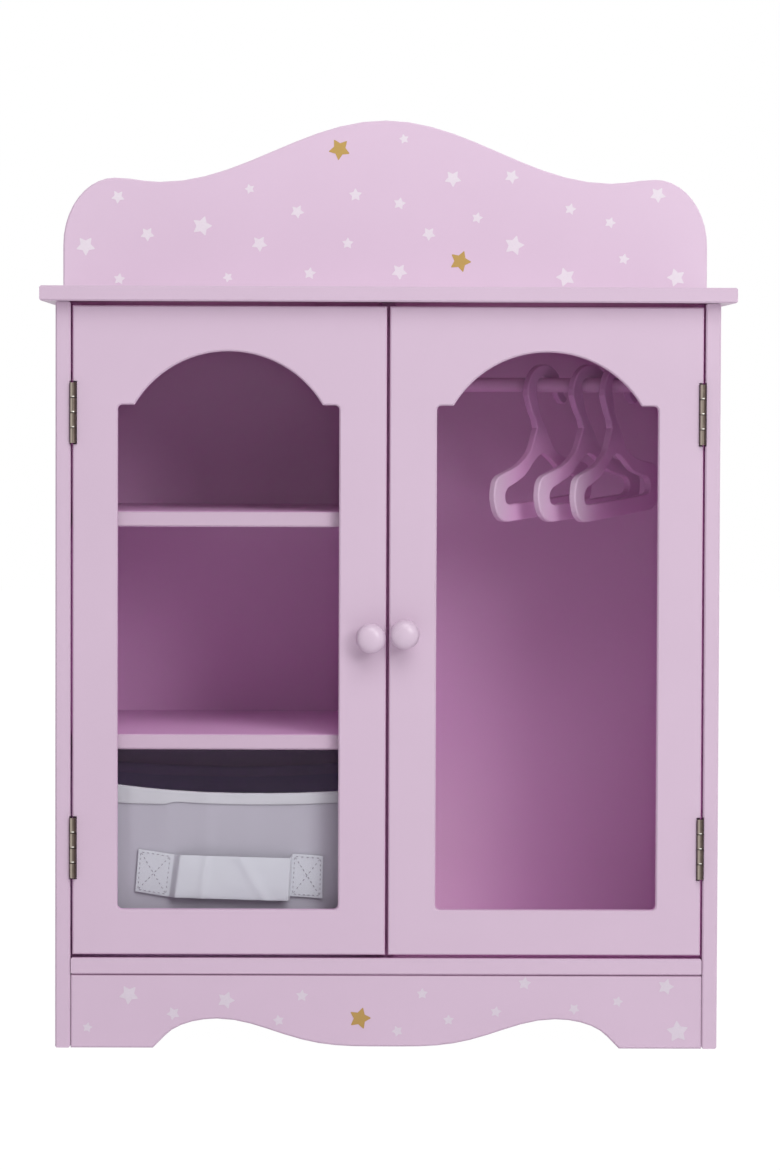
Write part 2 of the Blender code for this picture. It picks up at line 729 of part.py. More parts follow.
def make_hinges(boards, doors, door_parents, colours):
    pin_radius = leaf_inside - HINGE_PIN_PLAY
    pin = None
    for side, word in ((-1, "left"), (1, "right")):
        for level, height in zip(("upper", "lower"), hinge_heights):
            centre = (side * pin_x, pin_y, height)
            make_hinge_leaf(word, level, "frame", side, centre, boards[word + "_side_panel"], None, colours)
            make_hinge_leaf(word, level, "door", -side, centre, doors[word], door_parents[word], colours)
            name = "_".join((word, level, "hinge", "pin"))
            if pin:
                add_copy(name, pin.data, None, centre)
                continue
            bm = bmesh.new()
            add_cylinder(bm, (centre[0], pin_y, height - HINGE_HEIGHT / 2), (0, 0, 1), pin_radius, HINGE_HEIGHT)
            pin = add_piece(name, bm, colours["hinge"], None, centre, smooth=True)


def make_door(side, word, parent, colours):
    origin = (side * pin_x, pin_y, 0)
    low, high = sorted((side * door_near, side * door_far))
    bm = bmesh.new()
    add_slab(bm, rectangle(low, high, door_bottom, door_top), front, door_back, on_front,
             holes=(window_outline(side),), edge=EDGE)
    door = add_piece(word + "_door_panel", bm, colours["paint"], parent, origin)

    # The pane is glued into a rebate behind the window.
    rebate = PANE_THICKNESS + 2 * FIT
    left, right = sorted((side * window_near, side * window_far))
    cutter = bmesh.new()
    add_box(cutter, (left - PANE_LAP - FIT, door_back - rebate, window_bottom - PANE_LAP - FIT),
            (right + PANE_LAP + FIT, door_back + OVERRUN, window_top + PANE_LAP + FIT))
    cut(door, word + "_rebate", cutter)
    bm = bmesh.new()
    add_box(bm, (left - PANE_LAP, door_back - FIT - PANE_THICKNESS, window_bottom - PANE_LAP),
            (right + PANE_LAP, door_back - FIT, window_top + PANE_LAP))
    add_piece(word + "_window_pane", bm, colours["pane"], parent, origin)

    # Knob and the screw that holds it from behind.
    knob_x = side * (door_near + KNOB_FROM_DOOR_EDGE)
    knob_height = KNOB_HEIGHT + (RIGHT_KNOB_RISE if word == "right" else 0)
    base = (knob_x, front - FIT, knob_height)
    profile = [(KNOB_DIAMETER / 2 * r, (KNOB_REACH - FIT) * h) for r, h in KNOB_PROFILE_SHARES]
    bm = bmesh.new()
    add_turned(bm, base, (0, -1, 0), profile, 2 * ROUND_SIDES)
    knob = add_piece(word + "_knob", bm, colours["knob"], parent, origin, smooth=True)
    bm = bmesh.new()
    shank = DOOR_THICKNESS + KNOB_SCREW_DEPTH
    add_pan_screw(bm, (knob_x, door_back + FIT, knob_height), (0, -1, 0), KNOB_SCREW_RADIUS,
                  KNOB_SCREW_HEAD, KNOB_SCREW_HEAD_HEIGHT, shank)
    add_piece(word + "_knob_screw", bm, colours["screw"], parent, origin, smooth=True)
    bore = bmesh.new()
    add_cylinder(bore, (knob_x, door_back + OVERRUN, knob_height), (0, -1, 0), KNOB_SCREW_RADIUS + FIT,
                 OVERRUN + shank + FIT)
    cut(door, word + "_knob_bore_in_door", bore.copy())
    cut(knob, word + "_knob_bore", bore)
    return door


def make_bin(colours):
    low_x = bay_left + BIN_SIDE_GAP
    high_x = bay_right - BIN_SIDE_GAP
    low_y = door_back + BIN_FROM_DOOR
    high_y = back_front - BIN_BACK_GAP
    base = FLOOR_TOP + FIT
    rim = LOWER_SHELF_TOP - BOARD - BIN_TOP_GAP - BINDING_WALL - FIT
    parent = axis_empty("bin_slide_axis", ((low_x + high_x) / 2, low_y, base))
    origin = tuple(parent.location)
    outline = rounded_rectangle(low_x, high_x, low_y, high_y, BIN_CORNER, CORNER_STEPS)
    inside = shrunk(outline, BIN_WALL)

    bm = bmesh.new()
    levels = ((outline, base), (outline, rim), (inside, rim), (inside, base + BIN_WALL))
    loops = [add_loop(bm, points, on_floor, height) for points, height in levels]
    for first, second in zip(loops, loops[1:]):
        join_loops(bm, first, second)
    bm.faces.new(loops[0])
    bm.faces.new(loops[-1])
    add_piece("bin_shell", bm, colours["fabric"], parent, origin)

    # The binding is folded over the rim, so its section is an upturned U.
    out_far = shrunk(outline, -BINDING_WALL - FIT)
    out_near = shrunk(outline, -FIT)
    in_near = shrunk(inside, FIT)
    in_far = shrunk(inside, BINDING_WALL + FIT)
    top = rim + FIT + BINDING_WALL
    hem = top - BINDING_HEIGHT
    levels = (
        (out_far, hem), (out_far, top), (in_far, top), (in_far, hem),
        (in_near, hem), (in_near, rim + FIT), (out_near, rim + FIT), (out_near, hem),
    )
    bm = bmesh.new()
    loops = [add_loop(bm, points, on_floor, height) for points, height in levels]
    for first, second in zip(loops, loops[1:] + loops[:1]):
        join_loops(bm, first, second)
    add_piece("bin_rim_binding", bm, colours["binding"], parent, origin)

    bm = bmesh.new()
    board = shrunk(inside, BASE_BOARD_GAP)
    floor = base + BIN_WALL + FIT
    add_slab(bm, board, floor, floor + BASE_BOARD, on_floor)
    add_piece("bin_base_board", bm, colours["card"], parent, origin)

    # Handle: two sewn patches and a strap that stands off between them.
    start = (low_x + high_x - HANDLE_LENGTH) / 2 + HANDLE_OFF_CENTRE
    bow_start = start + HANDLE_LEFT_PATCH
    bow_end = start + HANDLE_LENGTH - HANDLE_RIGHT_PATCH
    back = [(start, 0), (bow_start, 0)]
    steps = ROUND_SIDES
    for step in range(1, steps):
        share = step / steps
        bow = math.sin(math.pi * share) ** 0.8
        back.append((bow_start + (bow_end - bow_start) * share, HANDLE_STANDOFF * bow))
    back += [(bow_end, 0), (start + HANDLE_LENGTH, 0)]
    ribbon = [(x, low_y - FIT - off) for x, off in back]
    ribbon += [(x, low_y - FIT - off - HANDLE_THICKNESS) for x, off in reversed(back)]
    bm = bmesh.new()
    middle = base + HANDLE_CENTRE_HEIGHT
    add_slab(bm, ribbon, middle - HANDLE_HEIGHT / 2, middle + HANDLE_HEIGHT / 2, on_floor)
    add_piece("bin_handle", bm, colours["strap"], parent, origin)


def smooth_line(points, steps):
    # A Catmull-Rom curve through the points, which passes the first and the last.
    path = [points[0], *points, points[-1]]
    result = []
    for index in range(1, len(path) - 2):
        p0, p1, p2, p3 = (Vector(point) for point in path[index - 1:index + 3])
        for step in range(steps):
            t = step / steps
            spot = 2 * p1 + (p2 - p0) * t + (2 * p0 - 5 * p1 + 4 * p2 - p3) * t ** 2
            spot += (3 * p1 - p0 - 3 * p2 + p3) * t ** 3
            result.append(tuple(spot / 2))
    result.append(points[-1])
    return result


def rod_top(along, turn):
    # Height of the rod's top over its axis where a turned flat hanger crosses it.
    half_section = ROD_RADIUS / math.sin(turn)
    shift = HANGER_THICKNESS / 2 / math.tan(turn)
    share = max(abs(along) - shift, 0) / half_section
    return ROD_RADIUS * math.sqrt(max(1 - share ** 2, 0))


def stepped(start, end, shares):
    return [(start[0] + (end[0] - start[0]) * u, start[1] + (end[1] - start[1]) * v) for u, v in shares]


def hanger_outlines(turn):
    # Outline and hole in the hanger's own plane. The rod's axis is the origin and the body hangs beside it.
    near = ROD_RADIUS / math.sin(turn) + HANGER_THICKNESS / 2 / math.tan(turn) + HOOK_CLEARANCE
    seat = ROD_RADIUS + FIT
    arms = -HOOK_ARM_DROP
    middle = -HOOK_FROM_WAIST_LINE
    waist_left = (middle - HANGER_WAIST / 2, -HANGER_WAIST_DROP)
    waist_right = (middle + HANGER_WAIST / 2, -HANGER_WAIST_DROP)
    top = HOOK_ARM_DROP + seat + HOOK_TOP_BAND
    quarter = ARC_STEPS // 4
    outside = arc(0, arms, near + HOOK_NEAR_BAND, top, math.pi, math.pi / 2, quarter)
    outside += arc(0, arms, HOOK_OPENING + HOOK_TIP_BAND, top, math.pi / 2, 0, quarter)[1:]
    inside = arc(0, arms, HOOK_OPENING, HOOK_ARM_DROP + seat, 0, math.pi / 2, quarter)
    inside += arc(0, 0, near, seat, math.pi / 2, math.pi, quarter)[1:]
    inside.append((-near, arms))
    tip = [(HOOK_OPENING + HOOK_TIP_BAND * u, arms - HOOK_TIP_BAND * v) for u, v in reversed(TIP_SHARES)]
    neck_left = stepped(outside[0], waist_left, NECK_OUTER_SHARES)
    neck_right = stepped(inside[-1], waist_right, NECK_INNER_SHARES)
    body = [waist_right]
    body += [(middle + HANGER_WIDTH / 2 * u, -HANGER_DROP * v) for u, v in HANGER_OUTLINE_SHARES]
    right = smooth_line(body, 2)
    left = [(2 * middle - u, v) for u, v in reversed(right)]
    outline = outside + tip + inside + neck_right + right + left + neck_left[::-1]
    hole = [(middle + HANGER_WIDTH / 2 * u, -HANGER_DROP * v) for u, v in HANGER_HOLE_SHARES]
    rounded = smooth_line(hole, 2)
    hole = [(middle, -HANGER_DROP * HANGER_HOLE_PEAK_SHARE)] + rounded
    hole += [(2 * middle - u, v) for u, v in reversed(rounded)]
    return outline, hole


def turned_in_plane(points, angle):
    cosine = math.cos(angle)
    sine = math.sin(angle)
    return [(u * cosine - v * sine, u * sine + v * cosine) for u, v in points]


def hung(outline, hole, turn):
    # Tilts a hanger until its centre of mass is under the rod, then lowers its hook onto the rod.
    tilt = -balance_turn(outline, hole)
    outline = turned_in_plane(outline, tilt)
    hole = turned_in_plane(hole, tilt)
    over_rod = [(u, v) for u, v in outline if 0 < v and abs(u) < ROD_RADIUS / math.sin(turn)]
    drop = min(v - rod_top(u, turn) for u, v in over_rod) - FIT
    return [(u, v - drop) for u, v in outline], [(u, v - drop) for u, v in hole]


def balance_turn(outline, hole):
    # The turn in the hanger's plane that brings its centre of mass under the rod.
    area, u, v = centroid(outline)
    hole_area, hole_u, hole_v = centroid(hole)
    area = abs(area)
    hole_area = abs(hole_area)
    mass_u = area * u - hole_area * hole_u
    mass_v = area * v - hole_area * hole_v
    return math.atan2(mass_u, -mass_v)


def make_hangers(colours):
    places = (
        (FIRST_HANGER_FROM_SIDE, FIRST_HANGER_TURN),
        (SECOND_HANGER_FROM_SIDE, SECOND_HANGER_TURN),
        (THIRD_HANGER_FROM_SIDE, THIRD_HANGER_TURN),
    )
    for number, (from_side, turn) in enumerate(places, 1):
        outline, hole = hung(*hanger_outlines(turn), turn)
        centre = Vector((inner - from_side, rod_y, rod_height))
        parent = axis_empty("hanger_%d_axis" % number, centre)
        bm = bmesh.new()
        half = HANGER_THICKNESS / 2
        add_slab(bm, outline, -half, half, on_front, holes=(hole,), edge=HANGER_EDGE)
        bm.transform(Matrix.Translation(centre) @ Matrix.Rotation(turn, 4, "Z"))
        add_piece("hanger_%d" % number, bm, colours["hanger"], parent, centre)


def main():
    clear_scene()
    colours = make_materials()
    boards = make_cabinet(colours)
    make_rod(boards, colours)
    make_board_screws(boards, colours)
    doors = {}
    parents = {}
    for side, word in ((-1, "left"), (1, "right")):
        parents[word] = axis_empty(word + "_door_axis", (side * pin_x, pin_y, 0))
        doors[word] = make_door(side, word, parents[word], colours)
    make_hinges(boards, doors, parents, colours)
    make_bin(colours)
    make_hangers(colours)


main()
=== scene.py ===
import json
import math

import bpy
from mathutils import Matrix, Vector, noise


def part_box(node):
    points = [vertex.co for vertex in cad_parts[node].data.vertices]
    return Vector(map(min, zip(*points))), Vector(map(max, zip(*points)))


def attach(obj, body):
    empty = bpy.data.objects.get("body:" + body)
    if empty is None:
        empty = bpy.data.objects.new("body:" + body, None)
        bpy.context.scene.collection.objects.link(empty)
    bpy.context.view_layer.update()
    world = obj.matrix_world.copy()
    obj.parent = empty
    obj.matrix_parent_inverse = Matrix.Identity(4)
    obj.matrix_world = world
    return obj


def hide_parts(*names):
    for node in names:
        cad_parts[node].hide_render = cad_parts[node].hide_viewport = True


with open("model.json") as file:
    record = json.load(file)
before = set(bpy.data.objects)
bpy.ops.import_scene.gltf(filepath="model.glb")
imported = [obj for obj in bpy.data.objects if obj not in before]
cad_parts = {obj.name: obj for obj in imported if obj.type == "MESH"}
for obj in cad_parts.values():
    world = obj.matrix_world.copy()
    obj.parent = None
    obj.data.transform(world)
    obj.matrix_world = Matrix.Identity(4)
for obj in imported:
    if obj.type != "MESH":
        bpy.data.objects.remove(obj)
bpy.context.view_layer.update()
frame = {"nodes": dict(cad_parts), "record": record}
nodes = frame["nodes"]
mm = 0.001
plainWhite = (1.0, 1.0, 1.0, 1.0)
farAway = 1.0  # metres, well outside the closet on every side


# Colours and shader sums

def linear(colour):
    # A colour is written as red, green and blue out of 255, as a picture shows it.
    return tuple(((part / 255 + 0.055) / 1.055) ** 2.4 for part in colour) + (1.0,)


def toned(colour, share):
    # The same colour made darker, with a share under 1, or lighter.
    return [min(part * share, 1.0) for part in linear(colour)]


class Wire:
    # A socket in a material. Sums on wires add Math nodes, mix() blends two colours and node() adds the rest.
    def __init__(self, owner, socket=None):
        self.owner = owner
        self.socket = socket

    def node(self, kind, settings=None, sockets=None, output=0):
        made = self.owner.node_tree.nodes.new("ShaderNode" + kind)
        for name, value in (settings or {}).items():
            setattr(made, name, value)
        for name, value in (sockets or {}).items():
            target = made.inputs[name] if isinstance(name, int) else self.find(made, name)
            if isinstance(value, Wire):
                self.owner.node_tree.links.new(value.socket, target)
            else:
                target.default_value = value
        return Wire(self.owner, made.outputs[output])

    def find(self, made, name):
        for target in made.inputs:
            if target.enabled and name in (target.name, target.identifier):
                return target
        raise KeyError(name)

    def maths(self, operation, first, second):
        return self.node("Math", {"operation": operation}, {0: first, 1: second})

    def mix(self, first, second):
        # The first colour where this wire is 0 and the second where it is 1. Output 2 is the mixed colour.
        return self.node("Mix", {"data_type": "RGBA"},
                         {"Factor_Float": self, "A_Color": first, "B_Color": second}, output=2)

    def __add__(self, other):
        return self.maths("ADD", self, other)

    def __rsub__(self, other):
        return self.maths("SUBTRACT", other, self)

    def __mul__(self, other):
        return self.maths("MULTIPLY", self, other)

    __radd__ = __add__
    __rmul__ = __mul__


def newMaterial(name):
    # Returns the material, its shader and a wire with the place on the object, in metres.
    material = bpy.data.materials.new(name)
    material.use_nodes = True
    shader = material.node_tree.nodes["Principled BSDF"]
    return material, shader, Wire(material).node("TexCoord", output="Object")


def plug(wire, shader, name):
    wire.owner.node_tree.links.new(wire.socket, shader.inputs[name])


def along(place, axis):
    return place.node("SeparateXYZ", {}, {"Vector": place}, output=axis)


def grain(place, size, detail=2.0, roughness=0.5):
    # Noise whose patches are about that size in metres, from 0 to 1.
    return place.node("TexNoise", {},
                      {"Vector": place, "Scale": 1 / size, "Detail": detail, "Roughness": roughness})


def bump(height, strength, distance):
    return height.node("Bump", {}, {"Height": height, "Strength": strength, "Distance": distance})


def past(value, edge, soft):
    # Rises smoothly from 0 to 1 as a value passes a place.
    return value.node("MapRange", {"interpolation_type": "SMOOTHSTEP"},
                      {"Value": value, "From Min": edge - soft, "From Max": edge + soft})


def between(value, low, high, soft):
    # 1 where a value lies between two places, with soft edges.
    return past(value, low, soft) * (1 - past(value, high, soft))


# Finishes. In each, smoothest is the lowest roughness and roughSpread is how far it rises from there.

paintLook = dict(
    outside=(211, 189, 208), cloudSize=110 * mm, cloudDepth=0.035, speckSize=0.7 * mm, speckCover=0.06,
    smoothest=0.37, roughSpread=0.10, roughSize=20 * mm, shine=0.4,
    peelSize=1.6 * mm, peelHeight=0.02 * mm, peelStrength=0.35, regions=(), regionEdge=0.4 * mm,
    seams=(), seamReach=0.45 * mm, seamSoft=0.25 * mm, seamColour=(128, 88, 118),
)


def paintedBoard(name, look, **changes):
    # Sprayed satin paint on board: slow clouds of tone, orange peel and light specks.
    # A region is a box, the tone painted in it and how soft it ends sideways, upwards and downwards. Several
    # of these tones are painted light or painted shade.
    # A seam is an axis, a place on it and how strongly the paint darkens there: painted shade in a joint or
    # gap.
    look = dict(look, **changes)
    material, shader, place = newMaterial(name)
    clouds = grain(place, look["cloudSize"], detail=3.0)
    axes = {axis: along(place, axis) for axis in "XYZ"}

    def clouded(tone):
        return clouds.mix(toned(tone, 1 - look["cloudDepth"]), toned(tone, 1 + look["cloudDepth"]))

    colour = clouded(look["outside"])
    for (low, high), tone, soft in look["regions"]:
        softness = (soft, look["regionEdge"], soft)
        across, deep, up = (between(*edges) for edges in zip(axes.values(), low, high, softness))
        colour = (across * deep * up).mix(colour, clouded(tone))
    specks = grain(place, look["speckSize"], detail=1.0)
    colour = (specks * look["speckCover"]).mix(colour, plainWhite)
    # Painted shade: thin dark lines along joints and gaps.
    for axis, seam, depth in look["seams"]:
        near = between(axes[axis], seam - look["seamReach"], seam + look["seamReach"], look["seamSoft"])
        colour = (near * depth).mix(colour, linear(look["seamColour"]))
    plug(colour, shader, "Base Color")
    rubbed = grain(place, look["roughSize"], detail=3.0)
    plug(rubbed * look["roughSpread"] + look["smoothest"], shader, "Roughness")
    plug(bump(grain(place, look["peelSize"]), look["peelStrength"], look["peelHeight"]), shader, "Normal")
    shader.inputs["Specular IOR Level"].default_value = look["shine"]
    return material


metalLook = dict(
    light=(134, 121, 113), dark=(74, 64, 58), patchSize=4 * mm, brushSize=0.4 * mm, brushStretch=0.06,
    smoothest=0.18, lineRough=0.18, patchRough=0.12, scratch=0.02 * mm, scratchStrength=0.5,
    pins=(), knuckleRadius=2.2 * mm, knuckles=4, blend=0.35 * mm,
    # Painted reflection and painted shade down the knuckles' flanks, painted shade in their joints and
    # painted highlights over them.
    bright=(176, 166, 152), brightShare=(0.10, 0.40), dim=(66, 55, 50), dimShare=(0.62, 1.0), flankCover=0.8,
    jointColour=(44, 34, 38), jointReach=0.3 * mm, jointSoft=0.12 * mm,
    glint=(232, 228, 220), glintShare=(0.325, 0.675), glintHeight=(0.45 * mm, 1.1 * mm), glintSoft=0.2 * mm,
)


def knuckled(colour, across, height, pin, look):
    # Paints light and shade on one hinge: painted reflection down one flank, painted shade down the other,
    # and painted shade in the joints between its knuckles, each with a painted highlight over it.
    low, high = pin
    left = (low.x + high.x) / 2 - look["knuckleRadius"]
    wide = 2 * look["knuckleRadius"]

    def strip(start, end):
        # 1 between two shares of the knuckles' width.
        return between(across, left + wide * start, left + wide * end, look["blend"])

    onPin = between(height, low.z, high.z, look["blend"])
    for share, tone in ((look["brightShare"], look["bright"]), (look["dimShare"], look["dim"])):
        colour = (strip(*share) * onPin * look["flankCover"]).mix(colour, linear(tone))
    wholeWidth = strip(0, 1)
    glintWidth = strip(*look["glintShare"])
    start, end = look["glintHeight"]
    for number in range(1, look["knuckles"]):
        # Painted shade in a joint between two knuckles, and a painted highlight just over it.
        joint = low.z + (high.z - low.z) / look["knuckles"] * number
        dark = between(height, joint - look["jointReach"], joint + look["jointReach"], look["jointSoft"])
        colour = (dark * wholeWidth).mix(colour, linear(look["jointColour"]))
        glint = between(height, joint + start, joint + end, look["glintSoft"])
        colour = (glint * glintWidth).mix(colour, linear(look["glint"]))
    return colour


def dullNickel(name, look, **changes):
    # Rolled and plated strip: fine lines along its length and darker patches where the plating is thin.
    look = dict(look, **changes)
    material, shader, place = newMaterial(name)
    stretched = place.node("Mapping", {}, {"Vector": place, "Scale": (1.0, 1.0, look["brushStretch"])})
    lines = grain(stretched, look["brushSize"], detail=3.0)
    patches = grain(place, look["patchSize"], detail=3.0)
    colour = patches.mix(linear(look["dark"]), linear(look["light"]))
    across, height = along(place, "X"), along(place, "Z")
    # Painted light and shade on the knuckles of each hinge pin.
    for pin in look["pins"]:
        colour = knuckled(colour, across, height, pin, look)
    plug(colour, shader, "Base Color")
    plug(lines * look["lineRough"] + patches * look["patchRough"] + look["smoothest"], shader, "Roughness")
    plug(bump(lines, look["scratchStrength"], look["scratch"]), shader, "Normal")
    shader.inputs["Metallic"].default_value = 1.0
    return material


plasticLook = dict(
    # Past the front tone, the tones for the back and the hooks are painted shade.
    front=(227, 204, 225), back=(236, 181, 228), backFrom=-26 * mm, backSoft=18 * mm,
    hook=(208, 150, 202), hookFrom=408 * mm, hookSoft=14 * mm, flowDepth=0.03, flowScale=2.0, flowBend=6.0,
    skinSize=0.9 * mm, skinHeight=0.015 * mm, skinStrength=0.4, smoothest=0.30, roughSpread=0.12, shine=0.22,
)


def mouldedPlastic(name, look):
    # Moulded plastic with faint flow marks and a fine skin. Its pink is deeper towards the back and darker up
    # the hooks: painted shade of the bay.
    material, shader, place = newMaterial(name)
    bands = {"Vector": place, "Scale": look["flowScale"], "Distortion": look["flowBend"]}
    flow = place.node("TexWave", {"bands_direction": "DIAGONAL"}, bands, output="Fac")
    front, back, hook = (flow.mix(toned(tone, 1 - look["flowDepth"]), toned(tone, 1 + look["flowDepth"]))
                         for tone in (look["front"], look["back"], look["hook"]))
    towardsBack = past(along(place, "Y"), look["backFrom"], look["backSoft"])
    upHook = past(along(place, "Z"), look["hookFrom"], look["hookSoft"])
    plug(upHook.mix(towardsBack.mix(front, back), hook), shader, "Base Color")
    skin = grain(place, look["skinSize"])
    plug(skin * look["roughSpread"] + look["smoothest"], shader, "Roughness")
    plug(bump(skin, look["skinStrength"], look["skinHeight"]), shader, "Normal")
    shader.inputs["Specular IOR Level"].default_value = look["shine"]
    return material


sheetLook = dict(
    colour=(206, 200, 212), hazeSize=60 * mm, hazeDepth=0.04, alpha=0.011, hazeAlpha=0.01,
    dustScale=60.0, dustSize=0.012, dustAlpha=0.10, smoothest=0.12, roughSpread=0.05,
    rippleSize=50 * mm, rippleHeight=0.2 * mm, rippleStrength=0.3,
)


def clearSheet(name, look):
    # Thin clear sheet: nearly nothing to see but a slow light haze, a few specks of dust and faint ripples.
    material, shader, place = newMaterial(name)
    haze = grain(place, look["hazeSize"])
    specks = place.node("TexVoronoi", {}, {"Vector": place, "Scale": look["dustScale"]})
    dust = specks.maths("LESS_THAN", specks, look["dustSize"])
    plug(haze.mix(toned(look["colour"], 1 - look["hazeDepth"]), linear(look["colour"])), shader, "Base Color")
    plug(haze * look["hazeAlpha"] + dust * look["dustAlpha"] + look["alpha"], shader, "Alpha")
    plug(haze * look["roughSpread"] + look["smoothest"], shader, "Roughness")
    ripples = grain(place, look["rippleSize"], detail=1.0)
    plug(bump(ripples, look["rippleStrength"], look["rippleHeight"]), shader, "Normal")
    return material


clothLook = dict(
    colour=(183, 182, 192), thread=0.6 * mm, threadHeight=0.06 * mm, threadStrength=0.5, threadBend=0.4,
    smoothest=0.85, roughSpread=0.1, blotch=0.05, blotchSize=35 * mm, weaveTone=0.72, weaveCover=0.12,
    fuzzShare=0.4, fuzzSize=2.5, tint=None, tintCover=0.25, back=None, backSoft=40 * mm,
    sheen=0.25, sheenRoughness=0.5,
)
bandLength = 0.314  # metres from band to band of a wave at a scale of 1


def wovenCloth(name, look, **changes):
    # Cloth with crossing threads: two waves at right angles, a fibre fuzz and slow blotches of tone.
    look = dict(look, **changes)
    material, shader, place = newMaterial(name)
    waves = {"Vector": place, "Scale": bandLength / look["thread"], "Distortion": look["threadBend"]}
    ribs, rows = (place.node("TexWave", {"bands_direction": axis}, waves, output="Fac") for axis in "XZ")
    weave = (ribs + rows) * 0.5
    fuzz = grain(place, look["thread"] * look["fuzzSize"], detail=4.0, roughness=0.7)
    slow = grain(place, look["blotchSize"], detail=3.0)
    mottle = slow * (1 - look["fuzzShare"]) + fuzz * look["fuzzShare"]
    tone = mottle.mix(toned(look["colour"], 1 - look["blotch"]), toned(look["colour"], 1 + look["blotch"]))
    tone = (weave * look["weaveCover"]).mix(tone, toned(look["colour"], look["weaveTone"]))
    if look["tint"]:
        tone = (slow * look["tintCover"]).mix(tone, linear(look["tint"]))
    # Painted light: round the back of the bin the tape takes a lighter lilac, standing in for pink light
    # bounced into the shade there.
    if look["back"]:
        tone = past(along(place, "Y"), 0.0, look["backSoft"]).mix(tone, linear(look["back"]))
    plug(tone, shader, "Base Color")
    plug(fuzz * look["roughSpread"] + look["smoothest"], shader, "Roughness")
    raised = weave * (1 - look["fuzzShare"]) + fuzz * look["fuzzShare"]
    plug(bump(raised, look["threadStrength"], look["threadHeight"]), shader, "Normal")
    shader.inputs["Sheen Weight"].default_value = look["sheen"]
    shader.inputs["Sheen Roughness"].default_value = look["sheenRoughness"]
    return material


inkLook = dict(
    colour=(243, 238, 243), thinTone=0.94, thickTone=1.04, smoothest=0.43, roughSpread=0.15, metallic=0.0,
    coverSize=1.2 * mm, coverHeight=0.01 * mm, coverStrength=0.3,
)


def printedInk(name, look, **changes):
    # A printed star: a coat of ink that is thinner in places.
    look = dict(look, **changes)
    material, shader, place = newMaterial(name)
    cover = grain(place, look["coverSize"], detail=3.0)
    plug(cover.mix(toned(look["colour"], look["thinTone"]), toned(look["colour"], look["thickTone"])),
         shader, "Base Color")
    plug(cover * look["roughSpread"] + look["smoothest"], shader, "Roughness")
    plug(bump(cover, look["coverStrength"], look["coverHeight"]), shader, "Normal")
    shader.inputs["Metallic"].default_value = look["metallic"]
    return material


cardLook = dict(
    colour=(128, 124, 130), fibreSize=1.2 * mm, fibreStretch=0.3, darkTone=0.8, lightTone=1.15,
    smoothest=0.8, roughSpread=0.1, fibreHeight=0.05 * mm, fibreStrength=0.4,
)


def greyCard(name, look):
    # Pressed card with short fibres.
    material, shader, place = newMaterial(name)
    stretched = place.node("Mapping", {}, {"Vector": place, "Scale": (look["fibreStretch"], 1.0, 1.0)})
    fibres = grain(stretched, look["fibreSize"], detail=4.0, roughness=0.7)
    plug(fibres.mix(toned(look["colour"], look["darkTone"]), toned(look["colour"], look["lightTone"])),
         shader, "Base Color")
    plug(fibres * look["roughSpread"] + look["smoothest"], shader, "Roughness")
    plug(bump(fibres, look["fibreStrength"], look["fibreHeight"]), shader, "Normal")
    return material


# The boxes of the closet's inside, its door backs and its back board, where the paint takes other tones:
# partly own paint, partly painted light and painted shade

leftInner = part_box("left_side_panel")[1].x
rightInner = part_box("right_side_panel")[0].x
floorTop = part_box("bottom_panel")[1].z
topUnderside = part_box("top_panel")[0].z
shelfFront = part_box("upper_shelf")[0].y
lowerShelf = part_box("lower_shelf")
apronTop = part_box("front_apron")[1].z
doorBoxes = (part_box("left_door_panel"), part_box("right_door_panel"))
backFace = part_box("back_panel")[0].y + mm  # a millimetre behind the face that the bays show

toneLook = dict(
    # Inside is a deeper pink: partly the inner boards' own paint, partly painted light bounced between pink
    # walls. The other tones on this line are painted shade under the top board, painted bounce light on the
    # door backs and painted light behind the bin.
    inside=(231, 181, 225), underTop=(193, 133, 170), doorBack=(222, 186, 217), behindBin=(248, 216, 255),
    edge=0.4 * mm, overlap=1.0 * mm, skin=1.2 * mm, shelfSkin=0.9 * mm, floorSkin=0.5 * mm,
    # By the divider, low on the back board, a paler tone: painted light where the lamps reach in.
    byDivider=(233, 196, 225), dividerAcross=(-50 * mm, 75 * mm), dividerUp=(0.0, 160 * mm),
    # Just over the upper shelf in the upper left bay, a lighter tone: painted light against the shade there.
    overShelf=(246, 203, 240), shelfAcross=(-130 * mm, -10 * mm), shelfUp=(340 * mm, 385 * mm),
    dividerSoft=55 * mm, shelfSoft=25 * mm,
)
doorSkin = doorBoxes[0][0].y + toneLook["skin"]
farCorner = (farAway, farAway, farAway)
insideBox = (
    (leftInner - toneLook["overlap"], doorSkin, floorTop - toneLook["floorSkin"]),
    (rightInner + toneLook["overlap"], farAway, topUnderside + toneLook["skin"]),
)
# Box of the door backs and window walls, whose pinker tone is painted bounce light.
doorBackBox = ((-farAway, doorSkin, -farAway), farCorner)
behindShelfEdge = ((-farAway, shelfFront + toneLook["shelfSkin"], -farAway), farCorner)


def onBack(across=(-farAway, farAway), up=(-farAway, farAway)):
    # A box on the back board's inner face.
    return (across[0], -farAway, up[0]), (across[1], backFace, up[1])


insideRegion = (insideBox, toneLook["inside"], toneLook["edge"])
byDividerBox = onBack(toneLook["dividerAcross"], toneLook["dividerUp"])
overShelfBox = onBack(toneLook["shelfAcross"], toneLook["shelfUp"])
# Behind the bin, below the lower shelf on the left, a lighter tone: painted light in the shade there.
behindBinBox = onBack((-farAway, lowerShelf[1].x), (-farAway, lowerShelf[0].z + toneLook["overlap"]))
# The back board's inner face takes the inside tone; by the divider, over the upper shelf and behind the bin
# it is lighter: painted light.
backRegions = [
    (onBack(), toneLook["inside"], toneLook["edge"]),
    (byDividerBox, toneLook["byDivider"], toneLook["dividerSoft"]),
    (overShelfBox, toneLook["overShelf"], toneLook["shelfSoft"]),
    (behindBinBox, toneLook["behindBin"], toneLook["edge"]),
]
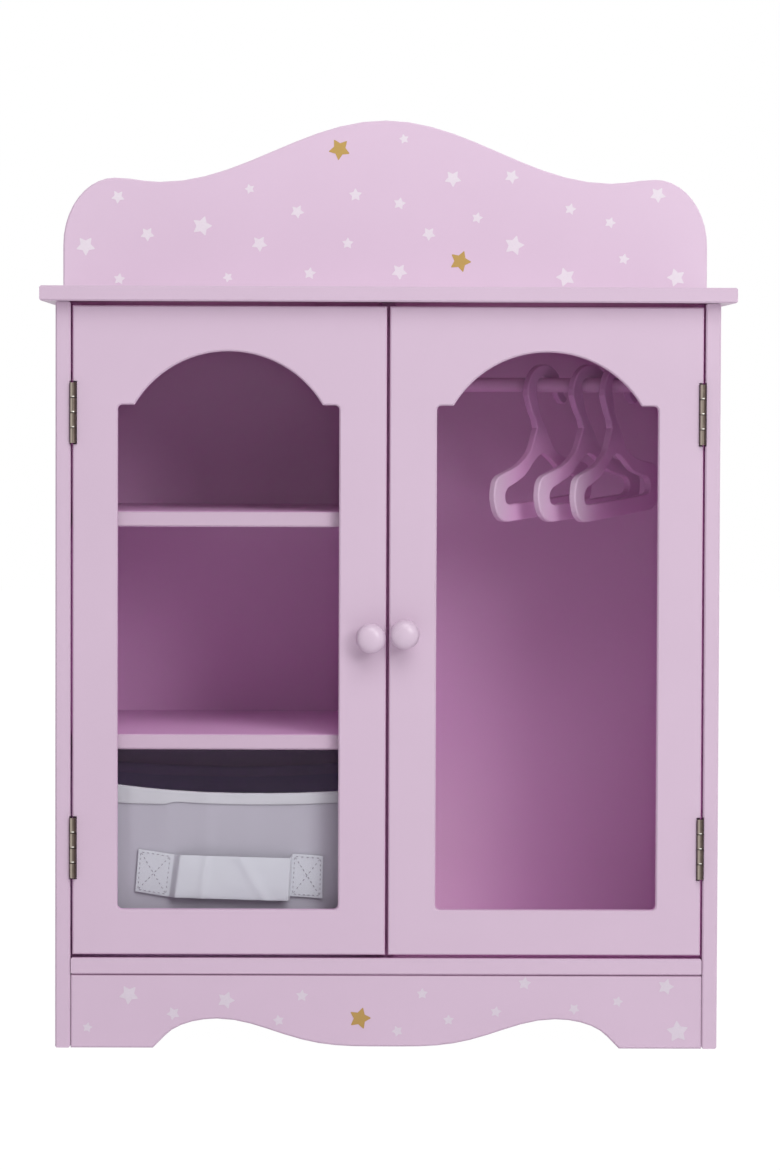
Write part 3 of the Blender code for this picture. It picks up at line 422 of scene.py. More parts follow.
# Painted shade: the doors' top, bottom and side edges, the walls of the gaps round them, are painted dark
# plum.
doorEdges = [("Z", corner.z, 1.0) for corner in doorBoxes[0]]
doorEdges += [("X", corner.x, 1.0) for doorBox in doorBoxes for corner in doorBox]
pinBoxes = [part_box("%s_%s_hinge_pin" % (side, level))
            for side in ("left", "right") for level in ("upper", "lower")]

boardPaint = paintedBoard("pink_board_paint", paintLook, regions=[insideRegion])
# The base paint's dark lines, under the floor board and beside the apron's ends, are painted shade in the
# joints.
basePaint = paintedBoard("pink_base_paint", paintLook, regions=[insideRegion], seamColour=(140, 98, 130),
                         seams=(("Z", apronTop, 0.85), ("X", leftInner, 0.45), ("X", rightInner, 0.45)))
crestPaint = paintedBoard("pink_crest_paint", paintLook, outside=(230, 208, 227))
# Door paint: painted shade on its edges, and on its back and window walls a pinker tone of painted bounce
# light.
doorPaint = paintedBoard("pink_door_paint", paintLook,
                         regions=[(doorBackBox, toneLook["doorBack"], toneLook["edge"])],
                         seams=doorEdges, seamReach=0.18 * mm, seamSoft=0.1 * mm, seamColour=(160, 84, 138))
# Under the top board, inside the closet, the paint takes a darker plum: painted shade in the gap over the
# doors.
topPaint = paintedBoard("pink_top_paint", paintLook,
                        regions=[(insideBox, toneLook["underTop"], toneLook["edge"])])
# Inner boards: pale paint on the shelves' front edges, and behind them the deeper inside pink, partly painted
# bounce light.
innerPaint = paintedBoard("pink_inner_paint", paintLook, outside=(205, 182, 201), shine=0.2,
                          regions=[(behindShelfEdge, toneLook["inside"], toneLook["edge"])])
# The divider is wholly a deeper pink: partly its own paint, partly painted shade seen through the centre gap.
dividerPaint = paintedBoard("pink_divider_paint", paintLook, outside=(216, 150, 203), shine=0.2)
backPaint = paintedBoard("pink_back_paint", paintLook, regions=backRegions, peelSize=1.2 * mm, shine=0.15)
rodPaint = paintedBoard("pink_rod_paint", paintLook, outside=(207, 148, 198), cloudSize=30 * mm, shine=0.15)
knobPaint = paintedBoard("pink_knob_paint", paintLook, outside=(213, 194, 211), smoothest=0.24, shine=0.5,
                         cloudSize=20 * mm)
hangerPlastic = mouldedPlastic("pink_hanger_plastic", plasticLook)
hingeMetal = dullNickel("dull_nickel", metalLook, pins=pinBoxes)
screwMetal = dullNickel("zinc_screw", metalLook, light=(196, 196, 198), dark=(150, 150, 154))
windowSheet = clearSheet("clear_sheet", sheetLook)
binCloth = wovenCloth("bin_cloth", clothLook)
liningCloth = wovenCloth("bin_lining", clothLook, colour=(222, 202, 250), smoothest=0.90)
# The tape's lilac back tone is painted light in the shade round the back of the bin.
tapeCloth = wovenCloth("binding_tape", clothLook, colour=(203, 206, 210), thread=0.5 * mm, smoothest=0.80,
                       blotch=0.03, back=(232, 206, 250))
strapCloth = wovenCloth("strap_cloth", clothLook, colour=(207, 212, 216), thread=0.5 * mm, smoothest=0.80,
                        blotch=0.03, tint=(196, 198, 214))
threadCloth = wovenCloth("sewing_thread", clothLook, colour=(140, 137, 150), thread=0.3 * mm,
                         threadHeight=0.03 * mm, smoothest=0.75)
crestWhite = printedInk("white_crest_ink", inkLook)
apronWhite = printedInk("white_apron_ink", inkLook, colour=(218, 210, 219))
crestGold = printedInk("gold_crest_ink", inkLook, colour=(192, 160, 85), smoothest=0.35, metallic=0.2)
apronGold = printedInk("gold_apron_ink", inkLook, colour=(178, 145, 78), smoothest=0.35, metallic=0.2)
baseCard = greyCard("grey_base_card", cardLook)
print("finishes made")


# Helpers for pieces

def select(*pieces):
    # Selects these pieces alone and makes the first one active.
    bpy.ops.object.select_all(action="DESELECT")
    for piece in pieces:
        piece.select_set(True)
    bpy.context.view_layer.objects.active = pieces[0]


def startPiece(name):
    # Names the piece that was just added or joined.
    piece = bpy.context.active_object
    piece.name = name
    piece.data.name = name
    return piece


def edit(piece):
    # Opens edit mode with all of the piece selected.
    select(piece)
    bpy.ops.object.mode_set(mode="EDIT")
    bpy.ops.mesh.select_mode(type="VERT")
    bpy.ops.mesh.select_all(action="SELECT")


def leaveEdit():
    bpy.ops.object.mode_set(mode="OBJECT")


def selectEdges(piece, wanted):
    # In edit mode, selects only the edges whose two ends pass a test.
    bpy.ops.mesh.select_all(action="DESELECT")
    leaveEdit()
    points = piece.data.vertices
    for edge in piece.data.edges:
        edge.select = wanted(*(points[index].co for index in edge.vertices))
    bpy.ops.object.mode_set(mode="EDIT")


def modified(piece, name, kind, **settings):
    modifier = piece.modifiers.new(name, kind)
    for setting, value in settings.items():
        setattr(modifier, setting, value)


def applied(piece, kind, **settings):
    modified(piece, kind.lower(), kind, **settings)
    select(piece)
    bpy.ops.object.modifier_apply(modifier=kind.lower())


def settle(piece):
    # Puts the piece's place, turn and size into its mesh.
    select(piece)
    bpy.ops.object.transform_apply(location=True, rotation=True, scale=True)


def tidyMesh(piece, angle=None):
    # Merges doubles, turns all faces outwards and smooths the shading, up to an angle if one is given.
    edit(piece)
    bpy.ops.mesh.remove_doubles(threshold=1e-6)
    bpy.ops.mesh.normals_make_consistent(inside=False)
    leaveEdit()
    if angle:
        bpy.ops.object.shade_smooth_by_angle(angle=math.radians(angle))
    else:
        bpy.ops.object.shade_smooth()


def copied(piece):
    select(piece)
    bpy.ops.object.duplicate(linked=False)
    return bpy.context.active_object


def joined(pieces, name):
    select(*pieces)
    bpy.ops.object.join()
    return startPiece(name)


def finishPiece(piece, material, slotName, body, *replaced):
    if not piece.data.materials:
        piece.data.materials.append(material)
    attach(piece, body)
    if replaced:
        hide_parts(*replaced)


# Finishes of the pieces that come with the frame: by slot, but some boards have a finish of their own

slotFinishes = dict(
    pink_paint=boardPaint, inner_board_paint=innerPaint, back_board_paint=backPaint, rod_paint=rodPaint,
    knob_paint=knobPaint, hanger_plastic=hangerPlastic, hinge_metal=hingeMetal, screw_metal=screwMetal,
    clear_pane=windowSheet, bin_fabric=binCloth, binding_tape=tapeCloth, handle_strap=strapCloth,
    base_card=baseCard,
)
boardFinishes = dict(
    crest_board=crestPaint, top_panel=topPaint, centre_divider=dividerPaint, bottom_panel=basePaint,
    front_apron=basePaint, left_door_panel=doorPaint, right_door_panel=doorPaint,
)
leafEdge = dict(width=0.22 * mm, segments=2, limit_method="ANGLE", angle_limit=math.radians(55))

for part in frame["record"]["subparts"]:
    node = nodes[part["node"]]
    for materialSlot in node.material_slots:
        materialSlot.material = boardFinishes.get(part["node"], slotFinishes[part["material_slot"]])
    if part["node"].endswith("_leaf"):
        modified(node, "eased_ends", "BEVEL", **leafEdge)
print("finishes given to", len(nodes), "nodes")


# Printed stars: each is its place across, its height, its reach in millimetres and its turn in degrees

starLook = dict(
    points=5, innerShare=0.53, tipShare=0.10, tipSteps=2, grow=1.1, thickness=0.10 * mm, lift=0.03 * mm,
)
crestStars = dict(
    board="crest_board",
    white=[
        (-191, 575, 4.6, 32), (-214, 540, 6.6, -35), (-170, 548.5, 4.9, -33), (-190, 516.5, 4.0, -8),
        (-131, 554.5, 6.9, -17), (-97, 581, 3.5, 17), (-63, 565, 4.7, -28), (-90, 542, 5.5, -32),
        (-112.5, 518, 3.5, 26), (-54, 521, 4.2, -8), (-21.5, 577, 4.5, 1), (-27, 542.5, 4.0, -3),
        (10, 571, 4.3, -12), (10, 522.5, 5.5, -32), (13, 617, 3.4, 12), (48, 589, 5.8, -34),
        (90, 590.5, 4.9, -28), (65.5, 561, 3.9, -14), (31, 549.5, 4.7, 34), (132, 567.5, 4.0, -14),
        (160.5, 558, 3.9, -20), (92, 541.5, 6.9, -15), (194.5, 578, 5.5, -32), (170.5, 532, 3.9, -12),
        (129, 519, 6.7, 18), (208, 519, 6.4, 17),
    ],
    gold=[(-33, 609.5, 7.4, 30), (53.5, 530, 7.4, -21)],
)
apronStars = dict(
    board="front_apron",
    white=[
        (-171, 35.5, 6.3, 31), (-198.5, 13.5, 3.3, -10), (-141.5, 23, 4.3, 25), (-106.5, 32, 5.6, -21),
        (-56, 35, 3.9, -4), (-71.5, 18.5, 3.6, 10), (7.5, 11.5, 3.6, 22), (24, 36.5, 3.6, 0),
        (41.5, 19, 3.5, 0), (73, 24.5, 3.6, -10), (92, 43.5, 4.2, -8), (125, 26.5, 3.6, 35),
        (154, 31.5, 3.5, -15), (186, 41.5, 5.2, -17), (194, 11.5, 7.0, 5),
    ],
    gold=[(-17.5, 20, 7.0, -16)],
)


def makeStarPattern(look):
    # One star of 1 m reach, face forward, with its tips rounded a little.
    bpy.ops.mesh.primitive_circle_add(vertices=2 * look["points"], radius=1.0, fill_type="NGON",
                                      rotation=(math.pi / 2, 0, 0))
    star = startPiece("star_pattern")
    settle(star)
    edit(star)
    bpy.ops.mesh.select_all(action="DESELECT")
    leaveEdit()
    for vertex in star.data.vertices:
        corner = round(math.atan2(vertex.co.x, vertex.co.z) * look["points"] / math.pi)
        vertex.select = corner % 2 == 1
    bpy.ops.object.mode_set(mode="EDIT")
    bpy.ops.transform.resize(value=(look["innerShare"],) * 3, center_override=(0, 0, 0))
    bpy.ops.mesh.select_all(action="INVERT")
    bpy.ops.mesh.bevel(offset=look["tipShare"], segments=look["tipSteps"], affect="VERTICES")
    leaveEdit()
    return star


def printStars(pattern, look, stars, kind, name, ink):
    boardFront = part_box(stars["board"])[0].y
    made = []
    for across, height, reach, turn in stars[kind]:
        size = look["grow"] * reach * mm
        star = copied(pattern)
        star.scale = (size, 1.0, size)
        star.rotation_euler = (0, -math.radians(turn), 0)
        star.location = (across * mm, boardFront - look["lift"], height * mm)
        settle(star)
        made.append(star)
    printed = joined(made, name)
    applied(printed, "SOLIDIFY", thickness=look["thickness"], offset=1.0)
    finishPiece(printed, ink, "pink_paint", "cabinet")


pattern = makeStarPattern(starLook)
printStars(pattern, starLook, crestStars, "white", "crest_white_stars", crestWhite)
printStars(pattern, starLook, crestStars, "gold", "crest_gold_stars", crestGold)
printStars(pattern, starLook, apronStars, "white", "apron_white_stars", apronWhite)
printStars(pattern, starLook, apronStars, "gold", "apron_gold_stars", apronGold)
bpy.data.objects.remove(pattern, do_unlink=True)
print("stars printed")


# Knobs, turned from a profile of radius and reach shares, door side first

knobLook = dict(
    sides=40, faceInset=0.6,
    profile=[
        (0.66, 0.00), (0.67, 0.05), (0.56, 0.10), (0.49, 0.17), (0.47, 0.26), (0.54, 0.36), (0.74, 0.43),
        (0.90, 0.50), (0.98, 0.59), (0.99, 0.69), (0.94, 0.79), (0.83, 0.88), (0.62, 0.955), (0.33, 0.99),
    ],
)


def makeKnob(side, look):
    low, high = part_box(side + "_knob")
    across = (low.x + high.x) / 2
    height = (low.z + high.z) / 2
    radius = (high.x - low.x) / 2 / max(share for share, depth in look["profile"])
    reach = high.y - low.y
    share, depth = look["profile"][0]
    bpy.ops.mesh.primitive_circle_add(vertices=look["sides"], radius=radius * share, fill_type="NGON",
                                      location=(across, high.y, height), rotation=(math.pi / 2, 0, 0))
    knob = startPiece(side + "_turned_knob")
    edit(knob)
    for nextShare, nextDepth in look["profile"][1:]:
        step = (nextDepth - depth) * reach
        bpy.ops.mesh.extrude_region_move(TRANSFORM_OT_translate={"value": (0, -step, 0)})
        wider = nextShare / share
        spot = (across, high.y - nextDepth * reach, height)
        bpy.ops.transform.resize(value=(wider, 1.0, wider), center_override=spot)
        share, depth = nextShare, nextDepth
    bpy.ops.mesh.inset(thickness=radius * share * look["faceInset"])
    bpy.ops.transform.translate(value=(0, -reach * (1 - depth), 0))
    leaveEdit()
    settle(knob)
    tidyMesh(knob)
    applied(knob, "SUBSURF", levels=1, render_levels=1)
    finishPiece(knob, knobPaint, "knob_paint", side + "_door", side + "_knob")
    widths = [round(wide / mm, 2) for wide in (knob.dimensions.x, high.x - low.x)]
    print(side, "knob is %s mm wide, its solid %s" % tuple(widths))


for side in ("left", "right"):
    makeKnob(side, knobLook)
print("knobs turned")


# Storage bin: a sewn shell that sags at the rim, its binding, its handle and the stitches

binLook = dict(
    corner=7 * mm, cornerSteps=4, columns=38, rows=14, wall=1.5 * mm, underTape=1.2 * mm, footTuck=0.8 * mm,
    leftCornerRim=177.0 * mm, rightCornerRim=170.6 * mm, middleRim=167.3 * mm, lowestShare=0.62,
    leftCurve=2.2, rightCurve=2.0, backMiddleRim=168.0 * mm, backCornerRim=173.0 * mm, backCurve=2.2,
    sideSag=1.5 * mm, belly=0.72 * mm, bellyCurve=0.8,
    wave=0.5 * mm, waveCount=28, waveRise=2.2, waveFoot=0.3,
    folds=[
        (-171 * mm, 1.2 * mm, 4.0 * mm), (-148 * mm, 0.6 * mm, 5.0 * mm), (-121.5 * mm, 1.5 * mm, 2.6 * mm),
        (-92 * mm, 0.5 * mm, 6 * mm), (-62 * mm, 0.6 * mm, 7 * mm), (-44 * mm, 0.8 * mm, 4 * mm),
    ],
    foldLean=2.5 * mm, foldPivot=0.6, foldFade=0.7,
)
shellLow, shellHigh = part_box("bin_shell")


def limited(share):
    return min(max(share, 0.0), 1.0)


def rimHeight(x, y, look):
    # Height of the cloth's top edge all round, from the front's and the back's own sags.
    share = limited((x - shellLow.x) / (shellHigh.x - shellLow.x))
    depth = limited((y - shellLow.y) / (shellHigh.y - shellLow.y))
    lowest = look["lowestShare"]
    if share < lowest:
        rise = (look["leftCornerRim"] - look["middleRim"]) * (1 - share / lowest) ** look["leftCurve"]
    else:
        climb = (share - lowest) / (1 - lowest)
        rise = (look["rightCornerRim"] - look["middleRim"]) * climb ** look["rightCurve"]
    front = look["middleRim"] + rise
    backRise = look["backCornerRim"] - look["backMiddleRim"]
    back = look["backMiddleRim"] + backRise * abs(2 * share - 1) ** look["backCurve"]
    return front + (back - front) * depth - look["sideSag"] * math.sin(math.pi * depth)


def outwardFrom(x, y, corner):
    # The way out of the bin at a point of its wall, seen from above.
    coreX = min(max(x, shellLow.x + corner), shellHigh.x - corner)
    coreY = min(max(y, shellLow.y + corner), shellHigh.y - corner)
    way = Vector((x - coreX, y - coreY, 0))
    return way.normalized() if way.length > 1e-7 else Vector((0, 0, 0))


def clothShape(x, y, share, look):
    # How far the cloth stands out at a share of the wall's height. The folds are in the front alone.
    out = look["belly"] * math.sin(math.pi * share ** look["bellyCurve"])
    spot = Vector((x * look["waveCount"], y * look["waveCount"], share * look["waveRise"]))
    out += look["wave"] * noise.noise(spot) * (look["waveFoot"] + share)
    if y < shellLow.y + look["corner"]:
        for place, height, width in look["folds"]:
            middle = place + look["foldLean"] * (share - look["foldPivot"])
            out += height * math.exp(-((x - middle) / width) ** 2) * share ** look["foldFade"]
    return out


def startOutline(name, look, height):
    # A flat outline with round corners, whose four long sides are split finely. Edit mode stays open on it.
    middle = (shellLow + shellHigh) / 2
    bpy.ops.mesh.primitive_plane_add(size=1.0, location=(middle.x, middle.y, height))
    piece = startPiece(name)
    piece.scale = (shellHigh.x - shellLow.x, shellHigh.y - shellLow.y, 1.0)
    settle(piece)
    edit(piece)
    bpy.ops.mesh.bevel(offset=look["corner"], segments=look["cornerSteps"], affect="VERTICES")
    bpy.ops.mesh.select_mode(type="EDGE")
    selectEdges(piece, lambda first, second: (first - second).length > 4 * look["corner"])
    bpy.ops.mesh.subdivide(number_cuts=look["columns"])
    bpy.ops.mesh.select_all(action="SELECT")
    return piece


def raiseRows(piece, floor, rise, rows):
    # Extrudes the ring upwards, row by row, and leaves edit mode.
    for row in range(1, rows + 1):
        bpy.ops.mesh.extrude_edges_move(TRANSFORM_OT_translate={"value": (0, 0, rise)})
        top = floor + rise * row
        selectEdges(piece, lambda first, second: max(abs(first.z - top), abs(second.z - top)) < rise / 3)
    leaveEdit()


def makeShell(look):
    floor = shellLow.z
    tall = shellHigh.z - floor
    shell = startOutline("bin_cloth_shell", look, floor)
    raiseRows(shell, floor, tall / look["rows"], look["rows"])
    for vertex in shell.data.vertices:
        x, y, z = vertex.co
        share = (z - floor) / tall
        out = clothShape(x, y, share, look) - look["footTuck"] * (1 - share)
        vertex.co += outwardFrom(x, y, look["corner"]) * out
        vertex.co.z = floor + share * (rimHeight(x, y, look) - look["underTape"] - floor)
    tidyMesh(shell)
    shell.data.materials.append(binCloth)
    shell.data.materials.append(liningCloth)
    applied(shell, "SOLIDIFY", thickness=look["wall"], offset=-1.0, material_offset=1)
    applied(shell, "SUBSURF", levels=1, render_levels=1, use_limit_surface=False)
    finishPiece(shell, binCloth, "bin_fabric", "storage_bin", "bin_shell")


# The tape's section is how far out and how far up each of its rows is from the rim, in millimetres.
bindingLook = dict(
    section=[
        (0.9, -7.4), (1.25, -6.9), (1.15, -4.5), (1.2, -1.6), (1.0, -0.3), (0.3, 0.35), (-0.8, 0.45),
        (-1.8, 0.1), (-2.5, -0.8), (-2.6, -4.0), (-2.5, -7.0),
    ],
    thickness=0.45 * mm, hem=7.4 * mm, widestHem=12.0 * mm, stretchUnder=-1.0,
    cornerRise=1.5 * mm, riseShare=0.30, ripple=0.18 * mm, rippleCount=90,
)


def hemStretch(x, y, look, cloth):
    # The tape's lower edge stays nearly level along the front, so the tape widens where the rim climbs.
    share = (x - shellLow.x) / (shellHigh.x - shellLow.x)
    if share > look["riseShare"] or y > shellLow.y + cloth["corner"]:
        return 1.0
    level = cloth["middleRim"] - look["hem"] + look["cornerRise"] * (1 - share / look["riseShare"])
    wide = min(rimHeight(x, y, cloth) - level, look["widestHem"])
    return max(wide / look["hem"], 1.0)


def makeBinding(look, cloth):
    # A folded tape: its section runs up the outside, over the cloth's edge and down the inside.
    # Its rows start a millimetre apart, so that a point's height tells its place in the section.
    binding = startOutline("bin_rim_tape", cloth, 0.0)
    raiseRows(binding, 0.0, mm, len(look["section"]) - 1)
    bpy.ops.object.mode_set(mode="EDIT")
    bpy.ops.mesh.select_mode(type="FACE")
    bpy.ops.mesh.select_all(action="DESELECT")
    leaveEdit()
    for face in binding.data.polygons:
        face.select = len(face.vertices) > 4  # the face across the outline, which the tape leaves open
    bpy.ops.object.mode_set(mode="EDIT")
    bpy.ops.mesh.delete(type="ONLY_FACE")
    leaveEdit()
    for vertex in binding.data.vertices:
        x, y, z = vertex.co
        outward, up = look["section"][round(z / mm)]
        up *= hemStretch(x, y, look, cloth) if up < look["stretchUnder"] else 1.0
        rim = rimHeight(x, y, cloth)
        share = min((rim + up * mm - shellLow.z) / (rim - shellLow.z), 1.0)
        ripple = look["ripple"] * noise.noise(Vector((x * look["rippleCount"], y * look["rippleCount"], up)))
        out = clothShape(x, y, share, cloth) + outward * mm + ripple
        vertex.co += outwardFrom(x, y, cloth["corner"]) * out
        vertex.co.z = rim + up * mm + ripple
    tidyMesh(binding)
    applied(binding, "SOLIDIFY", thickness=look["thickness"], offset=-1.0)
    applied(binding, "SUBSURF", levels=1, render_levels=1)
    finishPiece(binding, tapeCloth, "binding_tape", "storage_bin", "bin_rim_binding")


# The strap's middle is given as its height at the start and at the end of each patch and of the bow between.
handleLook = dict(
    left=-166.8 * mm, leftPatch=22.9 * mm, right=-42.6 * mm, rightPatch=21.4 * mm, width=28.4 * mm,
    leftMiddle=(116.0 * mm, 112.4 * mm), strapMiddle=(112.8 * mm, 110.6 * mm),
    rightMiddle=(113.1 * mm, 111.6 * mm), slants=((0.0, 0.075), (0.22, 0.13), (0.82, 0.06), (1.0, 0.015)),
    standOff=7.0 * mm, bow=0.6 * mm, rise=5.0 * mm, fall=0.9 * mm, thickness=1.3 * mm,
    columns=150, rows=14, wallShare=0.45, gap=0.5 * mm, looseFrom=3 * mm,
    crease=0.9 * mm, creasePlace=0.68, creaseLean=0.12, creaseWidth=0.05,
    ripple=0.35 * mm, rippleCount=(70, 110), rippleStart=3.1, curl=0.4 * mm, tip=0.7 * mm,
    hem=0.22 * mm, hemPlace=0.80, hemWidth=0.035, edge=0.35 * mm, edgeSteps=2, smoothAngle=50,
)
stitchLook = dict(
    length=1.9 * mm, pitch=3.2 * mm, thick=0.5 * mm, inset=1.6 * mm, sink=0.05 * mm,
    leftFold=0.6 * mm, rightFold=0.4 * mm, sides=6, rings=4,
)


def slantAt(x, look):
    # How far the strap's cross lines lean, from the left patch to the right one.
    share = (x - look["left"]) / (look["right"] - look["left"])
    for (start, first), (end, last) in zip(look["slants"], look["slants"][1:]):
        if share <= end:
            break
    return first + (last - first) * (share - start) / (end - start)


def handleRoute(x, look):
    # How far the strap stands off the cloth, and its middle's height, at a place along it.
    bowStart = look["left"] + look["leftPatch"]
    bowEnd = look["right"] - look["rightPatch"]
    if x <= bowStart:
        first, last = look["leftMiddle"]
        return 0.0, first + (last - first) * (x - look["left"]) / look["leftPatch"]
    if x >= bowEnd:
        first, last = look["rightMiddle"]
        return 0.0, first + (last - first) * (x - bowEnd) / look["rightPatch"]
    share = (x - bowStart) / (bowEnd - bowStart)
    rise = min((x - bowStart) / look["rise"], 1.0)
    rise = rise * rise * (3 - 2 * rise)
    fall = min((bowEnd - x) / look["fall"], 1.0)
    off = (look["standOff"] + look["bow"] * math.sin(math.pi * share)) * min(rise, fall)
    first, last = look["strapMiddle"]
    middle = first + (last - first) * share
    patch = look["leftMiddle"][1]
    return off, patch + (middle - patch) * rise


def patchFace(x, look):
    # How far the patches' outer face stands out from the front of the bin's box.
    return max(clothShape(x, shellLow.y, look["wallShare"], binLook), 0) + look["gap"] + look["thickness"]


def strapRelief(x, share, off, look):
    # How the strap's face moves in and out at a share of its half width: a hem all along and, where it is
    # loose, a fold, small creases, a curl at its edges and a tip forwards at its foot.
    loose = min(off / look["looseFrom"], 1.0)
    hem = look["hem"] * math.exp(-((share - look["hemPlace"]) / look["hemWidth"]) ** 2)
    bowLength = look["right"] - look["left"] - look["leftPatch"] - look["rightPatch"]
    place = (x - look["left"] - look["leftPatch"]) / bowLength
    fold = (place - look["creasePlace"] + look["creaseLean"] * share) / look["creaseWidth"]
    countX, countZ = look["rippleCount"]
    spot = Vector((x * countX, share * look["width"] / 2 * countZ, look["rippleStart"]))
    ripple = look["ripple"] * noise.noise(spot) - look["crease"] * math.exp(-fold ** 2)
    return hem + loose * (ripple + look["curl"] * share ** 4 + look["tip"] * share)


def makeHandle(look):
    # The strap starts as a grid 1 m long and 1 m high, whose points are then laid along its route.
    bpy.ops.mesh.primitive_grid_add(x_subdivisions=look["columns"], y_subdivisions=look["rows"], size=1.0,
                                    rotation=(math.pi / 2, 0, 0), location=(0.5, 0, 0))
    strap = startPiece("bin_strap_handle")
    settle(strap)
    for vertex in strap.data.vertices:
        x = look["left"] + (look["right"] - look["left"]) * vertex.co.x
        share = vertex.co.z * 2
        up = share * look["width"] / 2
        off, middle = handleRoute(x, look)
        front = shellLow.y - patchFace(x, look) - off + strapRelief(x, share, off, look)
        vertex.co = (x + slantAt(x, look) * up, front, middle + up)
    tidyMesh(strap)
    applied(strap, "SOLIDIFY", thickness=look["thickness"], offset=-1.0)
    applied(strap, "BEVEL", width=look["edge"], segments=look["edgeSteps"], limit_method="ANGLE")
    tidyMesh(strap, look["smoothAngle"])
    finishPiece(strap, strapCloth, "handle_strap", "storage_bin", "bin_handle")


def sewLine(stitch, look, start, end):
    # One row of stitches from start to end on the front of the handle's patches.
    run = (end - start).length
    count = max(round(run / look["pitch"]), 1)
    row = copied(stitch)
    row.scale = (look["length"], look["thick"], look["thick"])
    settle(row)
    applied(row, "ARRAY", count=count, use_relative_offset=False, use_constant_offset=True,
            constant_offset_displace=(run / count, 0, 0))
    row.rotation_euler = (end - start).to_track_quat("X", "Z").to_euler()
    row.location = start + (end - start) * 0.5 / count
    settle(row)
    return row


def sewStitches(look, handle):
    # A box and a cross of stitches on each patch.
    bpy.ops.mesh.primitive_uv_sphere_add(segments=look["sides"], ring_count=look["rings"], radius=0.5)
    stitch = startPiece("stitch_pattern")
    half = handle["width"] / 2 - look["inset"]
    rows = []
    patches = ((handle["left"], handle["left"] + handle["leftPatch"] - look["leftFold"]),
               (handle["right"] - handle["rightPatch"] + look["rightFold"], handle["right"]))
    for low, high in patches:
        low += look["inset"]
        high -= look["inset"]
        corners = []
        for x, up in ((low, -half), (high, -half), (high, half), (low, half)):
            front = shellLow.y - patchFace(x, handle) - look["sink"]
            corners.append(Vector((x + slantAt(x, handle) * up, front, handleRoute(x, handle)[1] + up)))
        for start, end in ((0, 1), (1, 2), (2, 3), (3, 0), (0, 2), (1, 3)):
            rows.append(sewLine(stitch, look, corners[start], corners[end]))
    bpy.data.objects.remove(stitch, do_unlink=True)
    thread = joined(rows, "handle_stitches")
    bpy.ops.object.shade_smooth()
    finishPiece(thread, threadCloth, "handle_strap", "storage_bin")


makeShell(binLook)
makeBinding(bindingLook, binLook)
makeHandle(handleLook)
sewStitches(stitchLook, handleLook)
print("bin sewn")


# The studio: pale floor, soft lamps and the photograph's camera. A lamp is its name, place, width and power.

studioLook = dict(
    floorColour=(244, 243, 245), floorSize=14.0, floorDrop=0.2 * mm, floorGlow=1.05, glowShare=0.95,
    airColour=(1.0, 0.88, 0.985, 1.0), airBelow=0.18, airAbove=0.56, backdrop=1.0, lampAim=(0, 0, 0.30),
    lamps=(("key_lamp", (1.72, -3.1, 1.44), 1.55, 39.2), ("top_lamp", (0.6, -2.45, 2.85), 2.2, 42.0)),
)
cameraLook = dict(
    place=(-30.1 * mm, -3102.4 * mm, 431.7 * mm), turn=-0.0106, tilt=-0.04126, roll=0.00362,
    lens=138.8, sensor=36.0, farthest=50.0,
)


def seenAsWhite(wire):
    # 1 for the rays that should find the white background: straight to the camera, mirrored or through glass.
    rays = wire.node("LightPath").socket.node
    seen = Wire(wire.owner, rays.outputs["Is Camera Ray"])
    for ray in ("Is Glossy Ray", "Is Transmission Ray"):
        seen = seen.maths("MAXIMUM", seen, Wire(wire.owner, rays.outputs[ray]))
    return seen


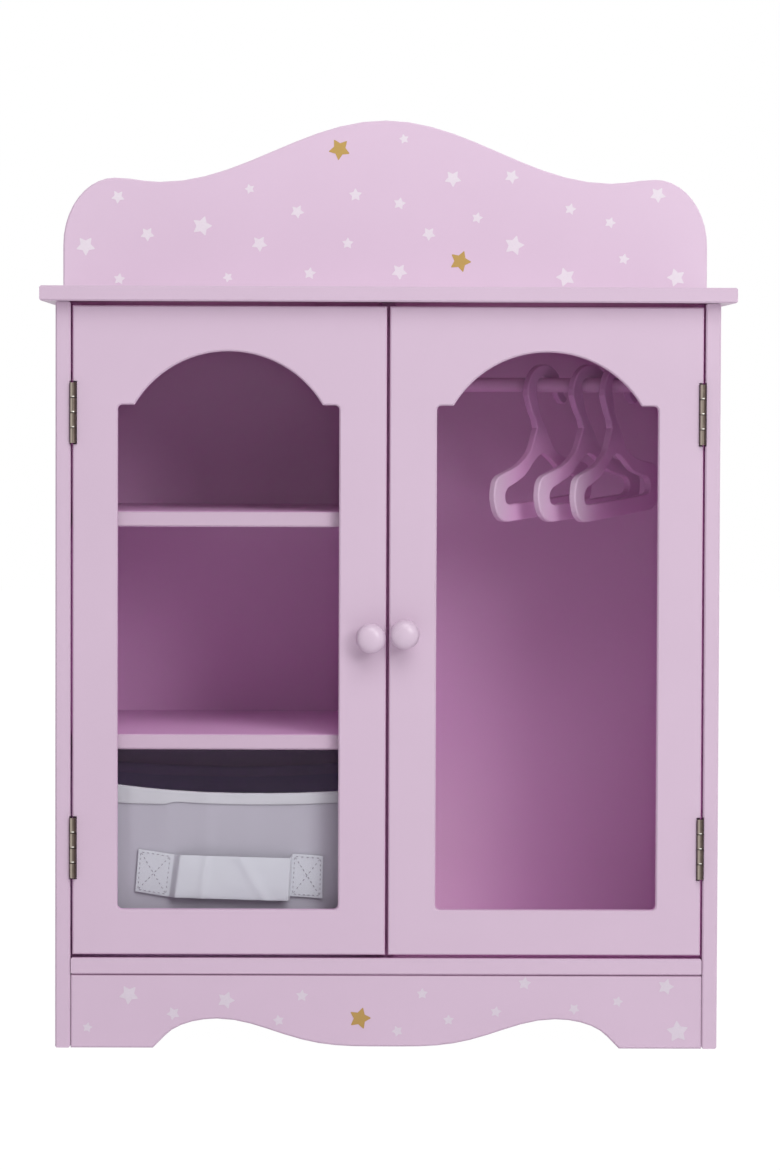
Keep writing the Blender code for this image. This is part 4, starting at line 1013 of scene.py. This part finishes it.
def makeFloor(look):
    bpy.ops.mesh.primitive_plane_add(size=look["floorSize"], location=(0, 0, -look["floorDrop"]))
    floor = startPiece("studio_floor")
    material = bpy.data.materials.new("studio_floor")
    material.use_nodes = True
    tree = material.node_tree
    tree.nodes.clear()
    wire = Wire(material)
    matt = wire.node("BsdfDiffuse", {}, {"Color": linear(look["floorColour"])})
    glow = wire.node("Emission", {}, {"Color": plainWhite, "Strength": look["floorGlow"]})
    mixed = wire.node("MixShader", {}, {0: seenAsWhite(wire) * look["glowShare"], 1: matt, 2: glow})
    out = tree.nodes.new("ShaderNodeOutputMaterial")
    tree.links.new(mixed.socket, out.inputs["Surface"])
    floor.data.materials.append(material)


def lightWorld(look):
    # Soft air that is brighter from above, and a white backdrop.
    world = bpy.data.worlds.new("studio_air")
    bpy.context.scene.world = world
    world.use_nodes = True
    world.node_tree.nodes.clear()
    wire = Wire(world)
    strength = wire.node("MapRange", {}, {"Value": along(wire.node("TexCoord"), "Z"),
                                          "To Min": look["airBelow"], "To Max": look["airAbove"]})
    soft = wire.node("Background", {}, {"Color": look["airColour"], "Strength": strength})
    backdrop = wire.node("Background", {}, {"Color": plainWhite, "Strength": look["backdrop"]})
    mixed = wire.node("MixShader", {}, {0: seenAsWhite(wire), 1: soft, 2: backdrop})
    out = world.node_tree.nodes.new("ShaderNodeOutputWorld")
    world.node_tree.links.new(mixed.socket, out.inputs["Surface"])


def hangLamp(name, place, size, power, aim):
    bpy.ops.object.light_add(type="AREA", location=place)
    lamp = bpy.context.active_object
    lamp.name = name
    lamp.data.shape = "DISK"
    lamp.data.size = size
    lamp.data.energy = power
    lamp.rotation_euler = (Vector(aim) - Vector(place)).to_track_quat("-Z", "Y").to_euler()


def placeCamera(look):
    bpy.ops.object.camera_add()
    camera = bpy.context.active_object
    turned = (Matrix.Rotation(look["turn"], 4, "Z") @ Matrix.Rotation(math.pi / 2 + look["tilt"], 4, "X")
              @ Matrix.Rotation(look["roll"], 4, "Z"))
    camera.matrix_world = Matrix.Translation(look["place"]) @ turned
    camera.data.sensor_fit = "VERTICAL"
    camera.data.sensor_height = look["sensor"]
    camera.data.lens = look["lens"]
    camera.data.clip_end = look["farthest"]
    bpy.context.scene.camera = camera


makeFloor(studioLook)
lightWorld(studioLook)
for lamp in studioLook["lamps"]:
    hangLamp(*lamp, studioLook["lampAim"])
placeCamera(cameraLook)
bpy.context.scene.view_settings.view_transform = "Standard"
print("studio set")
